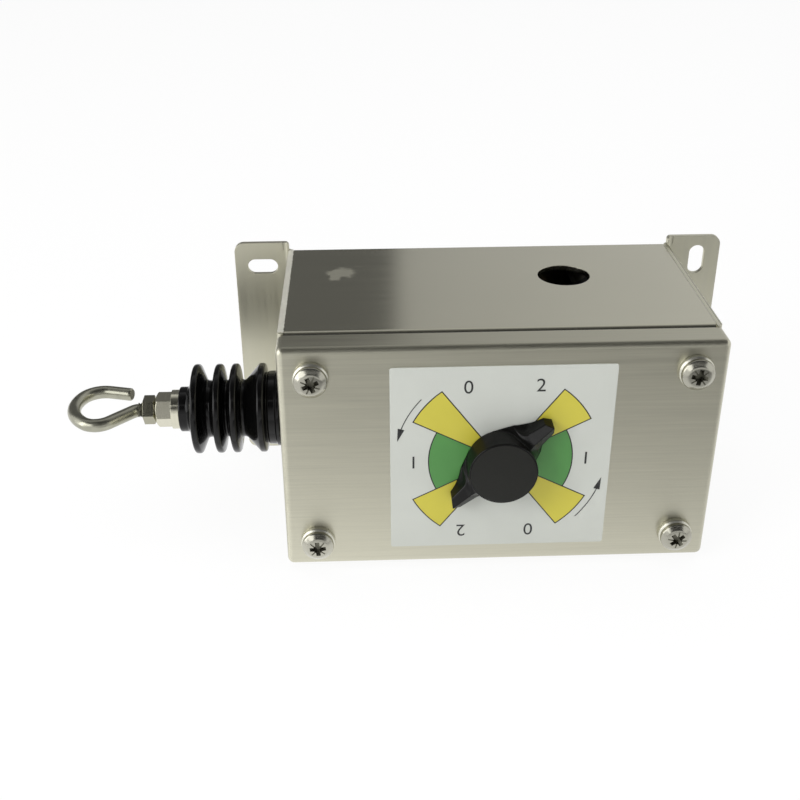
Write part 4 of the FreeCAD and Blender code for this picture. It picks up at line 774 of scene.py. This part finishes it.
def makeNumbers(size):
    points, faces = [], []
    for text, (x, z), turned in size["places"]:
        curve = bpy.data.curves.new("number", "FONT")
        curve.body = text
        curve.size = size["height"] * size["em"] * mm
        curve.align_x, curve.align_y = "CENTER", "CENTER"
        curve.extrude = size["lift"] / 2 * mm
        holder = bpy.data.objects.new("number", curve)
        scene.collection.objects.link(holder)
        mesh = bpy.data.meshes.new_from_object(holder)
        turn = Matrix.Rotation(math.radians(turned), 4, "Y") @ Matrix.Rotation(math.radians(90), 4, "X")
        move = Matrix.Translation((x * mm, labelY - size["lift"] / 2 * mm, z * mm)) @ turn
        base = len(points)
        points += [move @ vertex.co for vertex in mesh.vertices]
        faces += [[base + index for index in face.vertices] for face in mesh.polygons]
        bpy.data.objects.remove(holder)
        bpy.data.curves.remove(curve)
        bpy.data.meshes.remove(mesh)
    mesh = bpy.data.meshes.new("dialNumbers")
    mesh.from_pydata([tuple(point) for point in points], [], faces)
    addPiece("dialNumbers", mesh, blackInk, "enclosure", 0)


makeNumbers(numbers)
print("dial printed")

# Cover screws: pan heads with a cross recess, on thick washers

screw = {
    "radius": 6.0, "height": 3.6, "crown": 3.1, "shank": 2.98, "length": 20.0, "segments": 72,
    # cuts of the recess: reach, half width, depth and the share of the reach that is left at the bottom
    "wing": (3.3, 0.85, 2.5, 0.45), "tick": (4.0, 0.28, 0.5, 0.9), "core": (1.5, 1.5, 2.5, 0.6),
    "over": 1.0, "past": 0.2, "rim": 0.4,
    "turns": {(-1, 1): 22, (1, 1): -8, (-1, -1): 4, (1, -1): 38},
    "places": (68.0, 34.7), "washer": 6.4, "washerBore": 3.4, "washerHeight": 2.5, "washerSteps": 64,
}


def crossCutter(size):
    # Four tapered wings round a core, and four shallow ticks between them
    points, faces = [], []
    top, over, past = size["height"], size["over"], size["past"]

    def wedge(degrees, reach, half, deep, tipShare):
        # It starts just past the middle and over the top of the head, and narrows downwards
        base = len(points)
        angle = math.radians(degrees)
        ahead = Vector((math.cos(angle), math.sin(angle)))
        side = Vector((-ahead.y, ahead.x))
        for height, share in ((top + over, 1 + over / deep * (1 - tipShare)), (top - deep, tipShare)):
            for along, across in ((-past, -half), (reach, -half), (reach, half), (-past, half)):
                flat = ahead * along * share + side * across * (0.55 + 0.45 * share)
                points.append((flat.x, flat.y, height))
        faces.extend([[base, base + 1, base + 2, base + 3], [base + 4, base + 7, base + 6, base + 5]])
        faces.extend(quads(base, base + 4, 4))

    for degrees in range(0, 360, 90):
        wedge(degrees, *size["wing"])
    for degrees in range(45, 360, 90):
        wedge(degrees, *size["tick"])
    for degrees in (0, 180):
        wedge(degrees, *size["core"])
    return points, faces


def makeScrewHead(size):
    # One head at the origin, pointing up along Z, with the recess cut out
    radius, shank, length = size["radius"], size["shank"], size["length"]
    outside = roundCorners([
        (-length, 0.3), (-length, shank - 0.4), (0.4 - length, shank), (0.0, shank),
        (0.0, radius - 0.15, 0.15), (0.25, radius, 0.2), (1.5, radius - 0.05, 1.2),
        (size["crown"], radius - 2.0, 2.2), (size["height"], 0.3),
    ], 7)
    rings = turnRings(outside, lambda x, y, height: Vector((x, y, height)), size["segments"])
    return carve(meshFrom("headForm", *joinRings(rings)), meshFrom("headCutter", *crossCutter(size)))


def makeCoverScrews(size):
    form = makeScrewHead(size)
    # Faces inside the cross recess take the dark second steel: painted shade
    for face in form.polygons:
        across = math.hypot(face.center.x, face.center.y)
        if 0.0 < face.center.z < size["crown"] and across < size["wing"][0] + size["rim"]:
            face.material_index = 1
    washer, bore, washerTop = size["washer"], size["washerBore"], size["washerHeight"]
    placeX, placeZ = size["places"]
    heads = bmesh.new()
    for (sideX, sideZ), turn in size["turns"].items():
        seat = Vector((sideX * placeX * mm, coverY - washerTop * mm, sideZ * placeZ * mm))
        move = Matrix.Translation(seat) @ Matrix.Rotation(math.radians(90), 4, "X")
        move = move @ Matrix.Rotation(math.radians(turn), 4, "Z") @ Matrix.Scale(mm, 4)
        copy = form.copy()
        copy.transform(move)
        heads.from_mesh(copy)
        bpy.data.meshes.remove(copy)
    mesh = settle(heads, "coverScrewHeads")
    piece = addPiece("coverScrewHeads", mesh, brightSteel, "enclosure", 32)
    mesh.materials.append(recessShadeAndThreadSteel)
    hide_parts("cover_screws")
    points, faces = [], []
    profile = roundCorners([
        (0.02, bore), (0.02, washer - 0.1, 0.1), (0.3, washer, 0.2),
        (1.7, washer, 0.7), (washerTop, washer - 0.9, 0.4), (washerTop, bore),
    ], 5)
    for sideX, sideZ in size["turns"]:
        def onScrew(along, radius, angle):
            x = sideX * placeX + radius * math.cos(angle)
            z = sideZ * placeZ + radius * math.sin(angle)
            return Vector((x * mm, coverY - along * mm, z * mm))

        base = len(points)
        ringPoints, ringFaces = lathe(profile, onScrew, size["washerSteps"])
        points += ringPoints
        faces += [[base + index for index in face] for face in ringFaces]
    mesh = meshFrom("coverWashers", points, faces)
    piece = addPiece("coverWashers", mesh, washerSteel, "enclosure", 32)
    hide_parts("sealing_washers")


makeCoverScrews(screw)
print("cover screws made")

# Eye hook: round wire bent in one level plane, with the end of its thread outside the lock nut

hook = {
    "wire": 2.6, "start": -133.6, "step": 0.45, "round": 28,
    # radius or length, degrees and side of each part of the wire
    "bends": [
        (3.2, 0, 0), (6.0, 46, 1), (11.0, 0, 0), (6.8, 85, -1), (17.5, 75, -1), (8.8, 81, -1), (9.5, 0, 0),
    ],
    "thread": 5.2, "threadParts": 5, "pitch": 1.0, "crest": 2.95, "root": 2.45, "chamfer": 0.5,
}


def hookPath(size):
    # Places, headings and run along the wire
    place, heading, run = Vector((size["start"], rodY / mm, 0.0)), math.pi, 0.0
    path = [(place.copy(), heading, run)]
    for reach, degrees, side in size["bends"]:
        total = reach * math.radians(degrees) if degrees else reach
        steps = max(int(total / size["step"]), 1)
        for _ in range(steps):
            turn = side * math.radians(degrees) / steps
            heading += turn / 2
            place = place + Vector((math.cos(heading), math.sin(heading), 0.0)) * total / steps
            heading += turn / 2
            run += total / steps
            path.append((place.copy(), heading, run))
    return path


def makeHook(size):
    path = hookPath(size)
    fine = []
    for (near, heading, run), (far, _, further) in zip(path, path[1:]):
        parts = size["threadParts"] if run < size["thread"] else 1
        for part in range(parts):
            share = part / parts
            fine.append((near.lerp(far, share), heading, run + (further - run) * share))
    fine.append(path[-1])
    finish = path[-1][2]
    rings = []
    for place, heading, run in fine:
        across = Vector((-math.sin(heading), math.cos(heading), 0.0))
        ring = []
        for angle in fullTurn(size["round"]):
            radius = size["wire"]
            if run < size["thread"]:
                wave = 0.5 + 0.5 * math.cos(2 * math.pi * run / size["pitch"] + angle)
                radius = size["root"] + (size["crest"] - size["root"]) * wave
            radius -= max(run - finish + size["chamfer"], 0.0)
            rise = Vector((0, 0, radius * math.sin(angle)))
            ring.append((place + across * radius * math.cos(angle) + rise) * mm)
        rings.append(ring)
    mesh = meshFrom("eyeHook", *joinRings(rings))
    piece = addPiece("eyeHook", mesh, hookSteel, "rope_rod", 40)
    mesh.materials.append(recessShadeAndThreadSteel)
    # The thread and the cut ends of the wire take the dark second steel
    for face in mesh.polygons:
        if len(face.vertices) == size["round"] or face.center.x > (size["start"] - size["thread"]) * mm:
            face.material_index = 1
    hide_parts("eye_hook")


makeHook(hook)
print("hook made")

# Coupling: the CAD's own form, turned on the rod so that its flats lie as in the photo

coupling = {"turn": 4.5}


def makeCoupling(size):
    mesh = nodes["rod_coupling"].data.copy()
    centre = Matrix.Translation((0, rodY, 0))
    mesh.transform(centre @ Matrix.Rotation(math.radians(size["turn"]), 4, "X") @ centre.inverted())
    mesh.materials.clear()
    piece = addPiece("rodCoupling", mesh, hexSteel, "rope_rod", 30)
    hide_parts("rod_coupling")


makeCoupling(coupling)
print("coupling made")

# Ear bends: the short ends of the four ears that stand over and under the box

earTop = {
    "bend": (81.5, -3.5), "outer": 3.5, "inner": 1.5, "near": 79.6, "far": 82.2,
    "low": 45.9, "high": 49.2, "round": 1.3, "steps": 8, "thinnest": 0.02,
}


def earSection(size, near):
    # Outline of the bend at one level, as (x, y) points from its rounded corner outwards and back
    centreX, centreY = size["bend"]
    outer, inner = [], []
    for step in range(size["steps"] + 1):
        x = near + (centreX - near) * step / size["steps"]
        outer.append((x, centreY + math.sqrt(size["outer"] ** 2 - (x - centreX) ** 2)))
        start = max(near + size["thinnest"], centreX - size["inner"])
        x = centreX + (start - centreX) * step / size["steps"]
        inner.append((x, centreY + math.sqrt(max(size["inner"] ** 2 - (x - centreX) ** 2, 0.0))))
    back = centreY + size["outer"]
    end = [(size["far"], back), (size["far"], centreY + size["inner"])]
    return outer + end + inner + [(near, inner[-1][1])]


def makeEarTops(size):
    shape = bmesh.new()
    for sideX in (-1, 1):
        for sideZ in (-1, 1):
            sections = [(size["low"], size["near"])]
            for step in range(size["steps"] + 1):
                turn = math.pi / 2 * step / size["steps"]
                sections.append((size["high"] - size["round"] * (1 - math.sin(turn)),
                                 size["near"] + size["round"] * (1 - math.cos(turn))))
            rings = []
            for z, near in sections:
                rings.append([Vector((sideX * x, y, sideZ * z)) * mm for x, y in earSection(size, near)])
            shape.from_mesh(meshFrom("earTop", *joinRings(rings)))
    addPiece("earTops", settle(shape, "earTops"), plateSteel, "enclosure", 40)


makeEarTops(earTop)
print("ear bends made")

# Welds along the end plates: a rounded bead on the left, one ground flush on the right

weld = {
    "rows": 6, "step": 0.6, "back": -2.0, "front": -83.2,
    "edge": 80.0, "inset": 0.12, "level": 46.0, "under": 0.15,
    # name, finish, side, width, rise and waver of each pair
    "sides": [("leftWelds", weldSteel, -1, 2.3, 0.34, 0.6), ("rightWelds", wrapSteel, 1, 0.6, 0.02, 0.1)],
}


def makeWelds(size, name, material, sideX, width, rise, waver):
    shape = bmesh.new()
    count = int((size["back"] - size["front"]) / size["step"])
    outer = size["edge"] - size["inset"]
    under = size["level"] - size["under"]
    for sideZ in (-1, 1):
        rings = []
        for step in range(count + 1):
            y = size["back"] + (size["front"] - size["back"]) * step / count
            inner = size["edge"] - width - waver * noise.noise(Vector((y * 0.9, sideX * 7.0, sideZ * 3.0)))
            ring = []
            for row in range(size["rows"]):
                share = row / (size["rows"] - 1)
                x = outer + (inner - outer) * share
                swell = math.sin(math.pi * min(max(share, 0.04), 0.96))
                ripple = 0.5 + 0.5 * noise.noise(Vector((x * 1.7, y * 1.3, sideX + sideZ * 5.0)))
                ring.append((x, size["level"] + rise * swell * (0.5 + ripple)))
            ring += [(inner, under), (outer, under)]
            rings.append([Vector((sideX * x, y, sideZ * z)) * mm for x, z in ring])
        shape.from_mesh(meshFrom("weld", *joinRings(rings)))
    addPiece(name, settle(shape, name), material, "enclosure", 60)


for row in weld["sides"]:
    makeWelds(weld, *row)
print("welds made")


# Floor, lights and surroundings

studio = {
    "floor": 8.0, "floorGap": 0.0002, "floorTone": 0.93, "floorGlow": 0.9, "world": 0.50,
    "lamps": [  # name, place, target, width and power
        ("topLamp", (0.0, -0.1, 1.5), (0, 0, 0), 1.6, 11.5),
        ("leftLamp", (-0.8, -0.75, 0.6), (-0.05, -0.05, 0), 0.5, 7.0),
        ("rightLamp", (1.4, -0.8, 0.8), (0.0, -0.05, 0), 0.8, 2.0),
    ],
}


def seenRays(tree):
    # One for the rays of the camera, of mirrors and of clear stuff, and zero for light that bounces
    path = addNode(tree, "ShaderNodeLightPath").outputs
    direct = mathNode(tree, "ADD", path["Is Camera Ray"], path["Is Glossy Ray"])
    return mathNode(tree, "ADD", direct, path["Is Transmission Ray"], clamp=True)


def makeFloor(size, height):
    shape = bmesh.new()
    bmesh.ops.create_grid(shape, x_segments=8, y_segments=8, size=size["floor"] / 2)
    floor = bpy.data.objects.new("studioFloor", settle(shape, "studioFloor"))
    scene.collection.objects.link(floor)
    floor.location.z = height
    material, tree, shader = newMaterial("floorPaper", Roughness=0.9, Specular_IOR_Level=0.1)
    tone = (size["floorTone"],) * 3
    place = addNode(tree, "ShaderNodeTexCoord").outputs["Object"]
    colour = blendColours(tree, noiseNode(tree, place, 3.0, 2.0), dim(tone, 1.0), dim(tone, 1.02))
    tree.links.new(colour, shader.inputs["Base Color"])
    glow = addNode(tree, "ShaderNodeEmission", {"Color": (1, 1, 1, 1), "Strength": 1.0})
    share = mathNode(tree, "MULTIPLY", seenRays(tree), size["floorGlow"])
    mixed = addNode(tree, "ShaderNodeMixShader", {0: share, 1: shader.outputs[0], 2: glow.outputs[0]})
    tree.links.new(mixed.outputs[0], tree.nodes["Material Output"].inputs["Surface"])
    floor.data.materials.append(material)


def makeWorld(size):
    world = bpy.data.worlds.new("studioWorld")
    world.use_nodes = True
    scene.world = world
    tree = world.node_tree
    tree.nodes.clear()
    strength = rangeNode(tree, seenRays(tree), 0.0, 1.0, size["world"], 1.0)
    sky = addNode(tree, "ShaderNodeBackground", {"Color": (1, 1, 1, 1), "Strength": strength})
    sink = addNode(tree, "ShaderNodeOutputWorld")
    tree.links.new(sky.outputs[0], sink.inputs["Surface"])


def makeLamps(size):
    for name, place, target, wide, power in size["lamps"]:
        data = bpy.data.lights.new(name, "AREA")
        data.shape = "SQUARE"
        data.size = wide
        data.energy = power
        lamp = bpy.data.objects.new(name, data)
        lamp.visible_glossy = False  # reflections see the cards instead
        scene.collection.objects.link(lamp)
        lamp.location = place
        lamp.rotation_euler = (Vector(target) - Vector(place)).to_track_quat("-Z", "Y").to_euler()


cards = [
    # name, place, size, tilt and yaw in degrees, axis of the gradient, its stops and its tones, and what
    # the other axis does: from, to, first share and last share
    ("backCard", (0.0, 0.80, 0.55), (3.2, 1.5), (90, 0), 0, (-0.02, 0.0, 0.5), (0.145, 0.48, 0.72), None),
    ("overheadCard", (0.0, -0.15, 1.0), (2.6, 1.5), (0, 0), 1, (-0.3, 0.15, 0.6), (0.05, 0.10, 0.7), None),
    ("frontCard", (0.1, -1.0, 0.55), (2.0, 0.95), (90, 0), 1, (-0.36, 0.0, 0.4), (0.75, 0.05, 0.05), None),
    ("shoulderCard", (-0.8, -0.75, 0.6), (0.7, 0.7), (90, -47), 0, (-0.4, 0.0, 0.4), (2.2, 2.2, 2.2), None),
    ("leftCard", (-1.1, -0.35, 0.35), (0.5, 1.6), (90, 90), 0, (-0.3, -0.25, 0.25), (3.5, 3.5, 3.5), None),
    ("frontFloorCard", (0.35, -0.60, -0.0480), (0.95, 1.02), (0, 0), 1, (0.10, 0.36, 0.51),
     (0.22, 0.40, 0.97), (-0.475, -0.2, 1.42, 0.94)),
]


def makeCards(rows):
    # Cards that only reflections see, as a photographer sets them round bright metal
    for name, place, (wide, high), (tilt, yaw), axis, stops, tones, side in rows:
        material = bpy.data.materials.new(name)
        material.use_nodes = True
        tree = material.node_tree
        tree.nodes.clear()
        spot = addNode(tree, "ShaderNodeTexCoord").outputs["Object"]
        parts = addNode(tree, "ShaderNodeSeparateXYZ", {0: spot}).outputs
        first = rangeNode(tree, parts[axis], stops[0], stops[1], tones[0], tones[1])
        second = rangeNode(tree, parts[axis], stops[1], stops[2], 0.0, tones[2] - tones[1])
        strength = mathNode(tree, "ADD", first, second)
        if side:
            strength = mathNode(tree, "MULTIPLY", strength, rangeNode(tree, parts[1 - axis], *side))
        glow = addNode(tree, "ShaderNodeEmission", {"Strength": strength})
        sink = addNode(tree, "ShaderNodeOutputMaterial")
        tree.links.new(glow.outputs[0], sink.inputs["Surface"])
        shape = bmesh.new()
        bmesh.ops.create_grid(shape, x_segments=2, y_segments=2, size=0.5)
        bmesh.ops.scale(shape, vec=(wide, high, 1), verts=shape.verts)
        card = bpy.data.objects.new(name, settle(shape, name))
        scene.collection.objects.link(card)
        card.location = place
        card.rotation_euler = (math.radians(tilt), 0, math.radians(yaw))
        card.data.materials.append(material)
        for ray in ("camera", "diffuse", "shadow", "transmission", "volume_scatter"):
            setattr(card, "visible_" + ray, False)


makeFloor(studio, cadBox[0][2] - studio["floorGap"])
makeWorld(studio)
makeLamps(studio)
makeCards(cards)
scene.view_settings.view_transform = "Standard"
print("studio ready")
